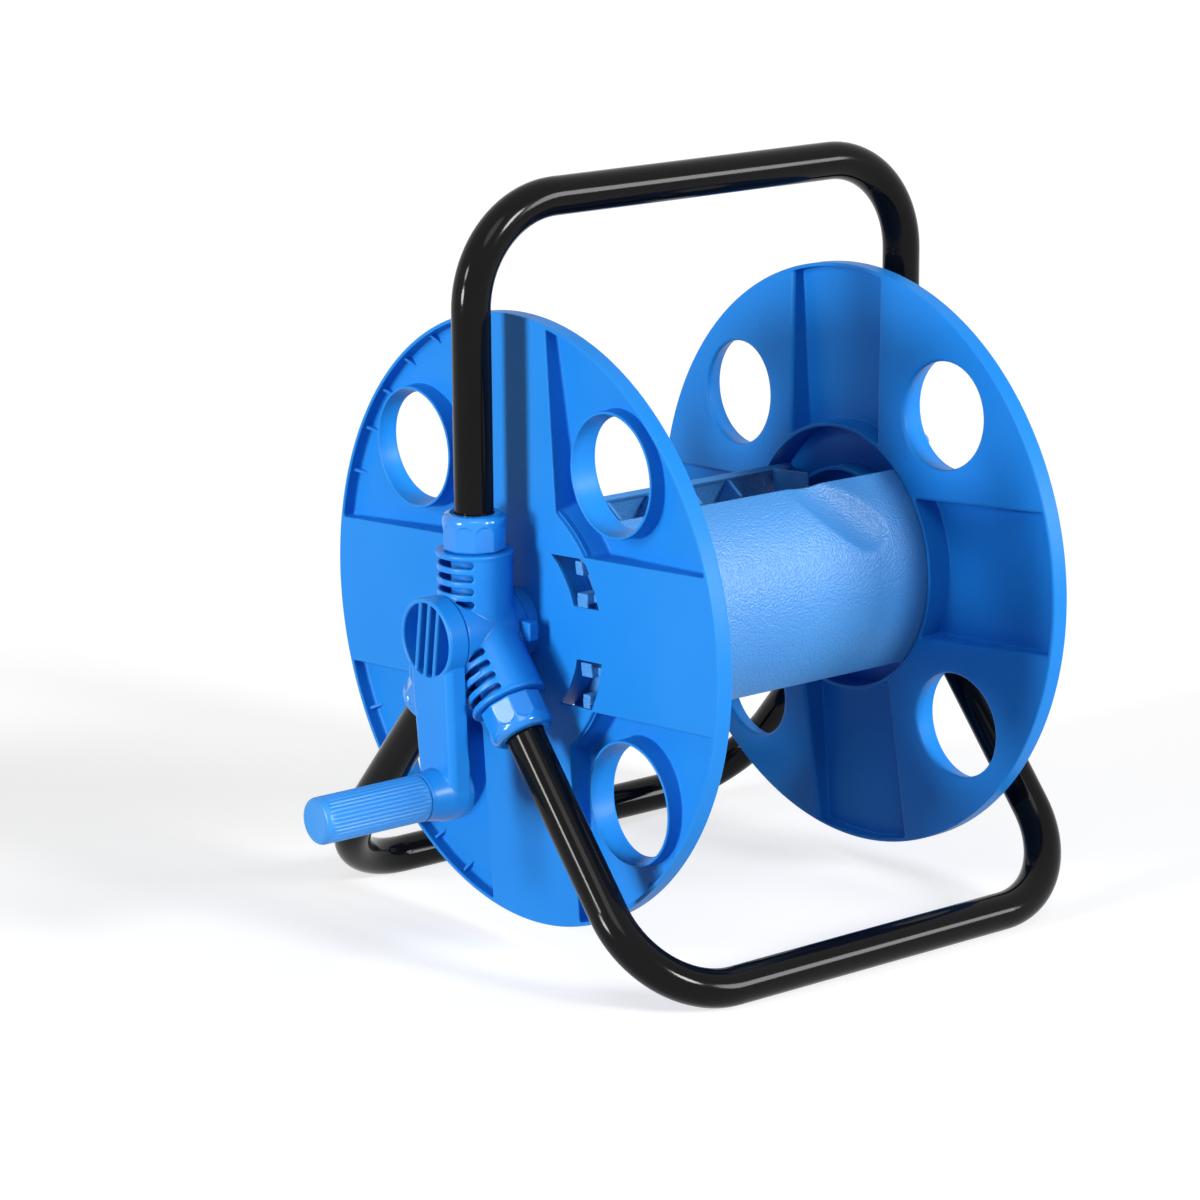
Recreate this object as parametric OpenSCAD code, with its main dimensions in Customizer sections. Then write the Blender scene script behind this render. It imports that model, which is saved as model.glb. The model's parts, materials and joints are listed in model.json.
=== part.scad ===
// Free-standing hose reel: a tube frame on two foot bars carries a drum of two moulded
// flanges and two core shells, turned by a crank on one side and fed with water on the other.
// X runs along the axle with the crank at -X, Y from front to back, Z up, in millimetres.

/* [Frame] */
// Overall height, from the floor to the top of the handle
frame_h = 380; // [350:1:430]
// Height of the axle above the floor
axle_h = 165; // [160:1:185]
// Distance between the two side frames, between tube centres
frame_w = 274; // [240:1:330]
// Distance between the two foot bars, between tube centres
foot_spread = 268; // [230:1:320]
// Outer diameter of the frame tube
tube_d = 19; // [16:0.5:20]
// Wall of the frame tube
tube_wall = 1.2; // [0.8:0.1:2]
// Bend radius of the frame tube, on its centre line
bend_r = 50; // [35:1:60]

/* [Brackets] */
// Outer diameter of a bracket socket
socket_d = 36.8; // [34:0.2:40]
// Length of a bracket socket, from the axle
socket_len = 40.5; // [36:0.5:50]
// Wall of the bracket
bracket_wall = 2; // [1.6:0.1:2.4]
// Height of one vent slot in a socket
slot_h = 3.3; // [2:0.1:4]
// Spacing of the vent slots
slot_pitch = 6.4; // [5.5:0.1:7]
// Number of vent slots in a socket
slot_count = 4; // [1:1:4]
// Outer diameter of the hub of a bracket
bearing_d = 40; // [36:0.5:46]
// Outer diameter of the hub's neck, on the side of the drum
neck_d = 34; // [33:0.5:38]
// Outer diameter of a tube nut
nut_d = 31.2; // [31:0.2:36]
// Length of a tube nut
nut_len = 17.4; // [17:0.2:26]
// Number of flats on a tube nut
nut_flats = 10; // [6:1:14]

/* [Flanges] */
// Diameter of a flange
flange_d = 302; // [280:1:310]
// Gap between a flange and the bearing of its bracket
flange_gap = 6; // [5:0.5:24]
// Width of the rim of a flange
rim_w = 9; // [6:0.5:12]
// How far a flange panel leans inwards, from its rim to its hub
dish = 7; // [3:0.5:10]
// Wall of the flanges
flange_wall = 2; // [1.6:0.1:2.6]
// Width of the raised band that stands upright
band_up_w = 70; // [62:1:80]
// Width of the raised band that lies across
band_across_w = 75; // [62:1:80]
// Diameter of the round openings
hole_d = 54; // [36:1:58]
// Pitch circle of the round openings
hole_pcd = 223; // [215:1:230]
// Wall of the collar round an opening
collar_wall = 1.6; // [1:0.1:2.4]
// Number of small gussets in each flange panel
gusset_count = 5; // [0:1:6]
// Spacing of the gussets, in degrees
gusset_pitch = 10.2; // [6:0.2:11]
// How far the drum and its crank stand turned, in degrees
drum_turn = 4.4; // [-40:0.2:40]

/* [Core] */
// Diameter of the drum core
core_d = 134; // [120:1:144]
// Wall of the core shells
core_wall = 2.5; // [2:0.1:3.5]
// Angle that the front shell covers, in degrees
front_arc = 96; // [84:1:110]
// Angle that the rear shell covers, in degrees
rear_arc = 80; // [76:1:110]
// Spacing of the stiffening ribs inside a shell
rib_pitch = 26.6; // [22:0.2:32]
// Width of the hose channel in the front shell
channel_w = 24; // [16:0.5:28]

/* [Crank] */
// Distance from the axle to the grip
crank_throw = 75.5; // [70:0.5:90]
// Diameter of the crank boss
boss_d = 40.6; // [38:0.2:46]
// Depth of the crank arm, front to back
arm_depth = 11; // [11:0.5:16]
// Width of the crank arm at the axle
arm_top_w = 32.6; // [28:0.2:36]
// Width of the crank arm at the grip
arm_w = 27.2; // [24.6:0.2:28]
// Bevel along the front edges of the arm
arm_bevel = 4; // [1:0.5:5]
// Number of bars in the window of the boss
bar_count = 3; // [1:1:4]
// Diameter of the grip
grip_d = 23; // [20:0.5:26]
// Length of the grip
grip_len = 60; // [50:1:90]
// Number of flutes on the grip
flute_count = 32; // [16:1:40]

/* [Water inlet] */
// Diameter of the bearing journals of the drum
journal_d = 28; // [26:0.5:30]
// Outer diameter of the water pipe
pipe_d = 20; // [18:0.5:21]
// Bore of the water pipe
pipe_bore = 16.4; // [14:0.1:16.6]
// Diameter of the tap connector nipple
nipple_d = 15.8; // [14:0.1:17]
// Length of the tap connector nipple
nipple_len = 20; // [14:0.5:24]

/* [Hidden] */
$fn = 72;

// Clearances
run_gap = 0.08;
fit_gap = 0.3;
seat_gap = 0.1;
cut = 1;

// Colours
blue = [0.16, 0.50, 0.92];
black = [0.05, 0.05, 0.055];
steel = [0.72, 0.73, 0.75];
grey = [0.30, 0.31, 0.33];
rubber = [0.04, 0.04, 0.04];

// Frame
side_x = frame_w / 2;
tube_r = tube_d / 2;
foot_drop = axle_h - tube_r;
leg_len = sqrt(pow(foot_spread / 2, 2) + pow(foot_drop, 2));
leg_angle = atan(foot_spread / 2 / foot_drop);
handle_rise = frame_h - tube_r - axle_h;
arm_angles = [0, 180 - leg_angle, 180 + leg_angle];
journal_r = journal_d / 2;
bearing_bore_r = journal_r + run_gap;
tube_seat = bearing_d / 2 + bracket_wall;
socket_r = socket_d / 2;
bracket_face = side_x + socket_r + 0.2;
arm_start = 5;
neck_from = 11;
web_half = 13;
web_drop = socket_r / sin(leg_angle) + 4.5;
tube_bore_r = tube_r + seat_gap;
inner_socket_r = tube_bore_r + bracket_wall;
spigot_r = tube_bore_r + 3.2;
spigot_len = nut_len * 0.6;
slot_first = socket_len - 4.5;
slot_reach = 46;
nut_gap = 0.6;
nut_base = socket_len + nut_gap;
nut_top_wall = 3;
nut_shoulder = 4;
nut_flat_depth = 0.7;
nut_collar = 2;
clamp_ring_r = spigot_r - 0.6;

// Flanges
inner_bearing_x = side_x - bearing_d / 2 + 0.5;
drum_half = inner_bearing_x - flange_gap;
flange_r = flange_d / 2;
rim_in_r = flange_r - flange_wall;
panel_floor = rim_w - flange_wall;
core_r = core_d / 2;
hub_in_r = core_r + 0.5;
hub_out_r = hub_in_r + flange_wall;
hub_depth = rim_w + dish;
hub_tube_step = 20.5;
hub_tube_r = core_r - hub_tube_step;
hub_tube_depth = 13.5;
hole_r = hole_d / 2;
hole_turn = [45, 135, 225, 315];
neck_r = neck_d / 2;
shoulder_r = neck_r;
shoulder_len = flange_gap - fit_gap;
journal_end = bracket_face - 1.4 - drum_half;
clip_low = 13;
clip_high = 36.5;
clip_in_r = hub_tube_r - 2;
clip_out_r = core_r - 1.5;
gusset_t = 1.4;
gusset_leg = 5;

// Core
shell_end = drum_half - flange_wall - fit_gap;
core_in_r = core_r - core_wall;
rib_depth = 13;
rib_in_r = core_in_r - rib_depth;
rib_t = 2;
rib_count = 6;
hook_out = 0.79 * core_r;
hook_in = hook_out - 4;
hook_t = 3;
hook_lip = 1.8;
hook_root = 8;
channel_r = 22;
channel_drop = channel_r - sqrt(channel_r * channel_r - channel_w * channel_w / 4);
channel_inset = 47;
channel_x = shell_end - channel_inset;
channel_below = 26;
channel_at = front_arc / 2 - channel_below;
channel_lean = 39;
channel_dip = 6.5;

// Crank
crank_back = bracket_face + 0.4;
crank_front = crank_back + arm_depth;
collar_len = 9.8;
collar_end = crank_front + collar_len;
collar_r = grip_d / 2 + 0.2;
grip_start = collar_end + fit_gap;
grip_end = grip_start + grip_len;
boss_r = boss_d / 2;
window_r = boss_r - 2.3;
window_depth = 7;
bar_pitch = window_r * 2 / (bar_count + 2.14);
bar_t = 2.6;
bar_lean = 12;
arm_half = arm_w / 2;
arm_top_half = arm_top_w / 2;
arm_taper = atan((arm_top_half - arm_half) / crank_throw);
end_r = arm_half + 0.2;
end_front = crank_front - arm_bevel - 0.4;
back_boss_r = arm_half - 0.6;
back_boss = 3.5;
pocket_wall = 2.6;
pocket_depth = arm_depth - 3;
peg = 15;
peg_floor = 5;
peg_len = crank_back - drum_half - peg_floor - seat_gap;
screw_r = 2.4;
screw_len = 26;
screw_head_r = 4.8;
screw_head_h = 3.4;
washer_r = 9;
washer_t = 1.2;
spindle_r = 4.5;
spindle_head_r = 7;
spindle_head_h = 2.6;
barb_r = spindle_r + 0.9;
barb_len = 4;
barb_from_end = 9;

// Water inlet
pipe_r = pipe_d / 2;
pipe_in_r = pipe_bore / 2;
pipe_out_x = drum_half + journal_end;
pipe_plate_r = shoulder_r;
pipe_plate_t = 2.5;
pipe_plate_x = drum_half - flange_wall - pipe_plate_t;
elbow_gap = 6;
elbow_end_x = pipe_plate_x - elbow_gap;
elbow_socket = 12;
pipe_in_x = elbow_end_x - elbow_socket;
elbow_wall = 3;
elbow_r = pipe_r + elbow_wall;
elbow_back = 12;
elbow_x = pipe_in_x - elbow_back;
branch_r = 10.5;
branch_rise = 11;
branch_top = elbow_r + branch_rise;
tail_r = 6.6;
tail_len = 14;
tail_top = branch_top + tail_len;
barb_pitch = 3.6;
hose_nut_r = 13;
hose_nut_h = 8;
plate_screw_r = 1.9;
plate_screw_at = (pipe_plate_r + pipe_r) / 2;
plate_screw_len = 6;
spigot_out_r = pipe_in_r - run_gap;
water_spigot_len = 20;
spigot_in_x = pipe_out_x - water_spigot_len;
water_r = 5;
connector_x = bracket_face + 0.6;
connector_collar_r = 13.5;
connector_collar = 6.7;
nipple_r = nipple_d / 2;
inlet_end = connector_x + connector_collar + nipple_len;
seal_r = 1.05;
seal_groove = 2.6;
seal_at = [4, 9.5];
clip_t = 1;
clip_x = pipe_out_x - 3.2;

// The middle of the whole object, so that it stands over its own origin
x_mid = (grip_end - inlet_end) / 2;

// Places a child in the axle's own frame, with x = 0 at the middle of the drum
module on_axle() {
    translate([x_mid, 0, axle_h]) children();
}

// Places a child in the drum's own frame, which stands turned about the axle
module on_drum() {
    on_axle() rotate([-drum_turn, 0, 0]) children();
}

// A cylinder from one x to another, about the x axis
module x_rod(r, from, to) {
    translate([from, 0, 0]) rotate([0, 90, 0]) cylinder(r = r, h = to - from);
}

// A ring from one x to another, about the x axis
module x_ring(r_out, r_in, from, to) {
    difference() {
        x_rod(r_out, from, to);
        x_rod(r_in, from - cut, to + cut);
    }
}

// A stretch of straight frame tube, along z
module pipe_run(len) {
    difference() {
        cylinder(r = tube_r, h = len);
        translate([0, 0, -cut]) cylinder(r = tube_r - tube_wall, h = len + 2 * cut);
    }
}

// A quarter bend of frame tube, from the +x side up to the top
module pipe_bend() {
    rotate([90, 0, 0]) rotate_extrude(angle = 90) translate([bend_r, 0]) difference() {
        circle(r = tube_r);
        circle(r = tube_r - tube_wall);
    }
}

// One hoop of the frame: two legs, two bends and a bar at the given rise above the axle
module hoop(rise) {
    bend_x = side_x - bend_r;
    for (s = [-1, 1]) {
        translate([s * side_x, 0, tube_seat]) pipe_run(rise - bend_r - tube_seat);
        translate([s * bend_x, 0, rise - bend_r]) mirror([s < 0 ? 1 : 0, 0, 0]) pipe_bend();
    }
    translate([-bend_x, 0, rise]) rotate([0, 90, 0]) pipe_run(2 * bend_x);
}

module handle_tube() {
    color(black) on_axle() hoop(handle_rise);
}

module front_foot_tube() {
    color(black) on_axle() rotate([arm_angles[1], 0, 0]) hoop(leg_len);
}

module rear_foot_tube() {
    color(black) on_axle() rotate([arm_angles[2], 0, 0]) hoop(leg_len);
}

// The vent slots of one socket, centred on its outward side
module vent_slots() {
    from = inner_socket_r + 0.6;
    depth = socket_r - from + cut;
    for (i = [0 : slot_count - 1]) translate([0, 0, slot_first - i * slot_pitch]) {
        translate([0, 0, -slot_h / 2]) rotate([0, 0, -slot_reach])
            rotate_extrude(angle = 2 * slot_reach) translate([from, 0]) square([depth, slot_h]);
        for (s = [-1, 1]) rotate([0, 0, s * slot_reach]) rotate([0, 90, 0])
            translate([0, 0, from]) cylinder(d = slot_h + 0.3, h = depth + 0.2);
    }
}

// The hollow between the outer wall of a socket and the wall round its tube
module socket_hollow() {
    from = slot_first - (slot_count - 1) * slot_pitch - slot_h;
    difference() {
        translate([0, 0, from]) cylinder(r = socket_r - bracket_wall, h = socket_len - bracket_wall - from);
        translate([0, 0, from - cut]) cylinder(r = inner_socket_r, h = socket_len);
        x_rod(bearing_d / 2, -socket_d, socket_d);
    }
}

// A three-way bracket with the tubes in its plane x = 0 and its outward face at +x
module bracket() {
    difference() {
        union() {
            for (a = arm_angles) rotate([a, 0, 0]) {
                translate([0, 0, arm_start]) cylinder(r = socket_r, h = socket_len - arm_start);
                translate([0, 0, tube_seat]) cylinder(r = spigot_r, h = nut_base + spigot_len - tube_seat);
            }
            x_rod(bearing_d / 2, -neck_from, bracket_face - side_x);
            x_rod(neck_r, inner_bearing_x - side_x, 0);
            translate([-web_half, -web_half, -web_drop]) cube([2 * web_half, 2 * web_half, web_drop]);
            translate([inner_bearing_x - side_x + 0.5, -neck_r - 8, -3]) cube([5.5, 9, 9]);
        }
        for (a = arm_angles) rotate([a, 0, 0]) {
            translate([0, 0, tube_seat - seat_gap]) cylinder(r = tube_bore_r, h = socket_len + nut_len);
            socket_hollow();
            vent_slots();
        }
        x_rod(bearing_bore_r, -socket_d, socket_d);
    }
}

module crank_side_bracket() {
    color(blue) on_axle() mirror([1, 0, 0]) translate([side_x, 0, 0]) bracket();
}

module inlet_side_bracket() {
    color(blue) on_axle() translate([side_x, 0, 0]) bracket();
}

// A tube nut standing on z = 0: flats below, a round collar and a shoulder above
module tube_nut() {
    nut_r = nut_d / 2;
    shoulder_z = nut_len - nut_shoulder;
    flat_top = shoulder_z - nut_collar;
    difference() {
        union() {
            linear_extrude(flat_top + 0.5) intersection() {
                circle(r = nut_r);
                circle(r = (nut_r - nut_flat_depth) / cos(180 / nut_flats), $fn = nut_flats);
            }
            translate([0, 0, flat_top]) cylinder(r = nut_r, h = nut_collar);
            translate([0, 0, shoulder_z])
                cylinder(r1 = nut_r, r2 = nut_r - 0.3 * nut_shoulder, h = 0.7 * nut_shoulder);
            translate([0, 0, shoulder_z + 0.7 * nut_shoulder])
                cylinder(r1 = nut_r - 0.3 * nut_shoulder, r2 = nut_r - nut_shoulder, h = 0.3 * nut_shoulder);
        }
        translate([0, 0, -cut]) cylinder(r = spigot_r + fit_gap, h = nut_len - nut_top_wall + cut);
        translate([0, 0, nut_len - nut_top_wall - cut]) cylinder(r = tube_r + fit_gap, h = nut_top_wall + 2 * cut);
    }
}

// The nut on one arm of one bracket: side is -1 at the crank and 1 at the inlet
module placed_nut(side, arm) {
    color(blue) on_axle() translate([side * side_x, 0, 0]) rotate([arm_angles[arm], 0, 0])
        translate([0, 0, nut_base]) tube_nut();
}

module crank_handle_nut() { placed_nut(-1, 0); }
module crank_front_nut() { placed_nut(-1, 1); }
module crank_rear_nut() { placed_nut(-1, 2); }
module inlet_handle_nut() { placed_nut(1, 0); }
module inlet_front_nut() { placed_nut(1, 1); }
module inlet_rear_nut() { placed_nut(1, 2); }

// Split rings that the nuts press round the tubes
module tube_clamp_rings() {
    ring_from = nut_base + spigot_len + seat_gap;
    ring_to = nut_base + nut_len - nut_top_wall - seat_gap;
    color(grey) for (side = [-1, 1], a = arm_angles)
        on_axle() translate([side * side_x, 0, 0]) rotate([a, 0, 0]) difference() {
            translate([0, 0, ring_from]) cylinder(r = clamp_ring_r, h = ring_to - ring_from);
            translate([0, 0, ring_from - cut]) cylinder(r = tube_bore_r, h = nut_len);
            translate([0, -0.9, ring_from - cut]) cube([socket_d, 1.8, nut_len]);
        }
}

// The round body of a flange: rim, leaning panel and hub ring, before the bands are cut in.
// Its outer face is z = 0 and z grows towards the middle of the drum.
module flange_dish() {
    rotate_extrude() {
        polygon([
            [rim_in_r, 0], [flange_r, 0], [flange_r, rim_w - 1.5], [flange_r - 1.5, rim_w],
            [rim_in_r - 1, rim_w], [hub_out_r, hub_depth], [hub_in_r, hub_depth], [hub_in_r, 0],
            [hub_out_r, 0], [hub_out_r, hub_depth - flange_wall], [rim_in_r, panel_floor]
        ]);
    }
}

// The cross of bands, as a prism that is smaller than the bands by an inset
module cross(inset, depth, out) {
    for (band = [[0, band_across_w / 2 - inset], [90, band_up_w / 2 - inset]])
        rotate([0, 0, band[0]]) translate([-band[1], -out, 0]) cube([2 * band[1], 2 * out, depth]);
}

// The inside of the drum side of the panels, used to stop the band walls at the panel
module panel_under() {
    rotate_extrude() polygon([
        [0, 0], [rim_in_r + 1, 0], [rim_in_r + 1, rim_w - 1], [rim_in_r - 1, rim_w], [hub_out_r, hub_depth],
        [0, hub_depth]
    ]);
}

// One small gusset between the rim and a panel, with its corner on the rim
module gusset() {
    translate([rim_in_r + 0.5, gusset_t / 2, 0]) rotate([90, 0, 0]) linear_extrude(gusset_t)
        polygon([[0, panel_floor - 4], [-gusset_leg, panel_floor + 1], [0, panel_floor + 1]]);
}

// One side's pair of openings for the hooks of a core shell
module clip_openings() {
    intersection() {
        difference() {
            translate([0, 0, -cut]) cylinder(r = clip_out_r, h = hub_depth);
            translate([0, 0, -2 * cut]) cylinder(r = clip_in_r + 2.5, h = hub_depth + 4 * cut);
        }
        for (s = [-1, 1], t = [-1, 1])
            translate([s > 0 ? clip_low : -clip_high, t > 0 ? 0 : -core_r, -cut])
            cube([clip_high - clip_low, core_r, flange_wall + 2 * cut]);
    }
}

// A flange without the bearing journal of its own side
module flange_body() {
    difference() {
        union() {
            difference() {
                flange_dish();
                difference() {
                    translate([0, 0, flange_wall])
                        cross(flange_wall, hub_depth, rim_in_r - 0.01);
                    translate([0, 0, -cut]) cylinder(r = hub_out_r, h = hub_depth + 2 * cut);
                }
                cylinder(r = hub_in_r, h = hub_depth + cut);
            }
            intersection() {
                cross(0, flange_wall, flange_r);
                cylinder(r = flange_r - 0.5, h = flange_wall);
            }
            difference() {
                intersection() {
                    cross(0, hub_depth, flange_r);
                    panel_under();
                }
                translate([0, 0, -cut]) cross(flange_wall, hub_depth + 2 * cut, flange_r);
                translate([0, 0, -cut]) cylinder(r = hub_out_r - 0.5, h = hub_depth + 2 * cut);
            }
            cylinder(r = hub_out_r, h = flange_wall);
            difference() {
                cylinder(r = hub_tube_r, h = hub_tube_depth);
                translate([0, 0, -cut]) cylinder(r = hub_tube_r - flange_wall, h = hub_depth);
            }
            intersection() {
                for (a = hole_turn) rotate([0, 0, a]) translate([hole_pcd / 2, 0, 0])
                    cylinder(r = hole_r + collar_wall, h = hub_depth);
                panel_under();
            }
            for (a = hole_turn, i = [0 : gusset_count - 1])
                rotate([0, 0, a + (i - (gusset_count - 1) / 2) * gusset_pitch]) gusset();
        }
        for (a = hole_turn) rotate([0, 0, a]) translate([hole_pcd / 2, 0, -cut])
            cylinder(r = hole_r, h = hub_depth + 2 * cut);
        clip_openings();
    }
}

// The crank side flange, with a journal that takes the crank's square peg
module crank_side_flange() {
    color(blue) on_drum() translate([-drum_half, 0, 0]) rotate([0, 90, 0]) difference() {
        union() {
            flange_body();
            translate([0, 0, -shoulder_len]) cylinder(r = shoulder_r, h = shoulder_len + flange_wall);
            translate([0, 0, -journal_end]) cylinder(r = journal_r, h = journal_end);
        }
        translate([-peg / 2 - seat_gap, -peg / 2 - seat_gap, -journal_end - cut])
            cube([peg + 2 * seat_gap, peg + 2 * seat_gap, journal_end - peg_floor + cut]);
        translate([0, 0, -peg_floor - cut]) cylinder(r = screw_r + fit_gap, h = peg_floor + hub_depth);
    }
}

// The inlet side flange, with a hollow journal round the water pipe
module inlet_side_flange() {
    color(blue) on_drum() translate([drum_half, 0, 0]) rotate([0, -90, 0]) difference() {
        union() {
            flange_body();
            translate([0, 0, -shoulder_len]) cylinder(r = shoulder_r, h = shoulder_len + flange_wall);
            translate([0, 0, -journal_end]) cylinder(r = journal_r, h = journal_end);
        }
        translate([0, 0, -journal_end - cut]) cylinder(r = pipe_r + seat_gap, h = journal_end + hub_depth);
        for (a = hole_turn) rotate([0, 0, a]) translate([plate_screw_at, 0, 0])
            translate([0, 0, flange_wall - plate_screw_len]) cylinder(r = plate_screw_r - 0.3, h = hub_depth);
    }
}

// A curved wall about the x axis, centred on -y, between two radii and two x values
module arc_wall(r_out, r_in, arc, from, to) {
    translate([from, 0, 0]) rotate([0, 90, 0]) rotate([0, 0, -90 - arc / 2])
        rotate_extrude(angle = arc) translate([r_in, 0]) square([r_out - r_in, to - from]);
}

// The hooks at both ends of a shell, which spread in pairs and catch the edges of the clip openings
module shell_hooks() {
    for (s = [-1, 1], t = [-1, 1], side = [-1, 1]) {
        edge = side < 0 ? clip_low : clip_high;
        mid = edge - side * (fit_gap + hook_t / 2);
        lip_mid = edge + side * (hook_lip - hook_t) / 2;
        reach = sqrt(pow(core_in_r + 0.5, 2) - pow(mid + hook_t / 2, 2));
        mirror([s < 0 ? 1 : 0, 0, 0]) mirror([0, 0, t < 0 ? 1 : 0]) translate([shell_end - hook_root, 0, 0]) {
            translate([0, -reach, mid - hook_t / 2]) cube([hook_root - fit_gap, reach - hook_in, hook_t]);
            translate([0, -hook_out, mid - hook_t / 2])
                cube([hook_root + flange_wall + hook_lip, hook_out - hook_in, hook_t]);
            translate([hook_root + flange_wall + 2 * fit_gap, -hook_out, lip_mid - hook_t / 2])
                cube([hook_lip - 2 * fit_gap, hook_out - hook_in, hook_t]);
        }
    }
}

// A core shell centred on -y, with its ribs and hooks
module core_shell(arc) {
    arc_wall(core_r, core_in_r, arc, -shell_end, shell_end);
    for (i = [0 : rib_count - 1]) {
        x = (i - (rib_count - 1) / 2) * rib_pitch;
        arc_wall(core_in_r + 0.5, rib_in_r, arc - 4, x - rib_t / 2, x + rib_t / 2);
    }
    shell_hooks();
}

// The rounded run of the hose channel, at a radius round its own middle line
module channel_run(r) {
    rotate([-channel_at, 0, 0]) translate([channel_x, -core_r - channel_r + channel_drop, 0])
        rotate([0, -channel_lean, 0]) rotate([-channel_dip, 0, 0]) {
        sphere(r = r);
        cylinder(r = r, h = core_d);
    }
}

module front_core_shell() {
    color(blue) on_drum() difference() {
        union() {
            core_shell(front_arc);
            intersection() {
                channel_run(channel_r + core_wall);
                arc_wall(core_in_r + 0.5, core_in_r - 4, front_arc, -shell_end, shell_end);
            }
        }
        channel_run(channel_r);
    }
}

module rear_core_shell() {
    color(blue) on_drum() rotate([180, 0, 0]) core_shell(rear_arc);
}

// The straight part of the crank arm, from the axle down to the grip, with bevelled front edges
module arm_bar() {
    difference() {
        translate([-crank_front, 0, 0]) rotate([90, 0, 90]) linear_extrude(arm_depth) polygon([
            [-arm_top_half, 0], [arm_top_half, 0], [arm_half, -crank_throw], [-arm_half, -crank_throw]
        ]);
        for (s = [-1, 1]) translate([-crank_front, s * arm_top_half, 0]) rotate([-s * arm_taper, 0, 0])
            translate([0, 0, -crank_throw - boss_r]) linear_extrude(crank_throw + boss_d)
            polygon([[-cut, s * cut], [-cut, -s * (arm_bevel + cut)], [arm_bevel + cut, s * cut]]);
    }
}

// The crank in its own frame: axle at the origin, grip below, front face towards -x
module crank_body() {
    x_rod(boss_r, -crank_front, -crank_back);
    arm_bar();
    translate([0, 0, -crank_throw]) {
        x_rod(end_r, -end_front, -crank_back);
        x_rod(back_boss_r, -crank_back - cut, back_boss - crank_back);
        translate([-end_front, 0, 0]) rotate([0, -90, 0]) rotate([0, 0, 180])
            cylinder(r1 = end_r, r2 = collar_r, h = collar_end - end_front);
    }
}

// The bars in the window of the boss
module window_bars() {
    rotate([bar_lean, 0, 0]) for (i = [0 : bar_count - 1])
        translate([-crank_front, (i - (bar_count - 1) / 2) * bar_pitch - bar_t / 2, -boss_r])
        cube([window_depth + cut, bar_t, boss_d]);
}

module crank_arm() {
    color(blue) on_drum() difference() {
        union() {
            difference() {
                crank_body();
                x_rod(window_r, -crank_front - cut, -crank_front + window_depth);
            }
            intersection() {
                window_bars();
                x_rod(window_r + 0.5, -crank_front, -crank_front + window_depth + cut);
            }
            translate([-crank_back - cut, -peg / 2, -peg / 2]) cube([peg_len + cut, peg, peg]);
        }
        translate([-crank_back - cut, -arm_half + pocket_wall, -crank_throw + grip_d / 2 + 2])
            translate([-pocket_depth + cut, 0, 0])
            cube([pocket_depth + cut, arm_w - 2 * pocket_wall, crank_throw - grip_d / 2 - boss_r]);
        x_rod(screw_r - 0.2, -crank_back - 4, 0);
        translate([0, 0, -crank_throw]) {
            x_rod(spindle_r + seat_gap, -collar_end - cut, 0);
            x_rod(spindle_head_r + seat_gap, -crank_back - spindle_head_h, 0);
        }
    }
}

// Screw and washer inside the drum, which draw the crank's peg into the flange
module crank_screw() {
    head_x = -drum_half + flange_wall + washer_t + seat_gap;
    color(steel) on_drum() difference() {
        union() {
            x_rod(screw_r - 0.25, head_x - screw_len, head_x + cut);
            x_rod(screw_head_r, head_x, head_x + screw_head_h);
        }
        for (a = [0, 90]) rotate([a, 0, 0])
            translate([head_x + screw_head_h - 1.6, -3, -0.5]) cube([3, 6, 1]);
    }
}

module crank_washer() {
    color(steel) on_drum()
        x_ring(washer_r, screw_r + 0.2, -drum_half + flange_wall + 0.05, -drum_half + flange_wall + washer_t);
}

// The spindle stays in the arm and the grip turns round it, held by the barb
module grip_spindle() {
    barb_x = -grip_end + barb_from_end;
    color(grey) on_drum() translate([0, 0, -crank_throw]) {
        x_rod(spindle_head_r, -crank_back - spindle_head_h + seat_gap, -crank_back - seat_gap);
        x_rod(spindle_r, barb_x, -crank_back - 0.5);
        x_rod(barb_r, barb_x, barb_x + barb_len);
    }
}

module crank_grip() {
    barb_x = -grip_end + barb_from_end;
    flute_r = PI * grip_d / flute_count * 0.36;
    color(blue) on_drum() translate([0, 0, -crank_throw]) difference() {
        union() {
            translate([-grip_end + 2, 0, 0]) rotate([0, 90, 0]) linear_extrude(grip_len - 3.2) difference() {
                circle(d = grip_d);
                for (i = [0 : flute_count - 1]) rotate(i * 360 / flute_count)
                    translate([grip_d / 2 + flute_r * 0.45, 0]) circle(r = flute_r, $fn = 16);
            }
            x_rod(grip_d / 2, -grip_start - 1.4, -grip_start);
            x_rod(grip_d / 2, -grip_end + 1, -grip_end + 2.6);
            x_rod(grip_d / 2 - 1, -grip_end, -grip_end + cut + 1);
        }
        x_rod(spindle_r + run_gap, -grip_end + barb_from_end - 1, 0);
        x_rod(barb_r + fit_gap, barb_x - 1, barb_x + barb_len + 0.4);
    }
}

// The water pipe through the inlet journal, with its fixing plate inside the hub
module water_pipe() {
    color(grey) on_drum() difference() {
        union() {
            x_rod(pipe_r, pipe_in_x, pipe_out_x);
            x_rod(pipe_plate_r, pipe_plate_x, pipe_plate_x + pipe_plate_t - 0.05);
        }
        x_rod(pipe_in_r, pipe_in_x - cut, pipe_out_x + cut);
        x_rod(pipe_in_r + 0.7, clip_x - 0.2, clip_x + clip_t + 0.2);
        rotate([0, 90, 0]) for (a = hole_turn) rotate([0, 0, a]) translate([plate_screw_at, 0, 0])
            cylinder(r = plate_screw_r + 0.2, h = pipe_out_x);
    }
}

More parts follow.
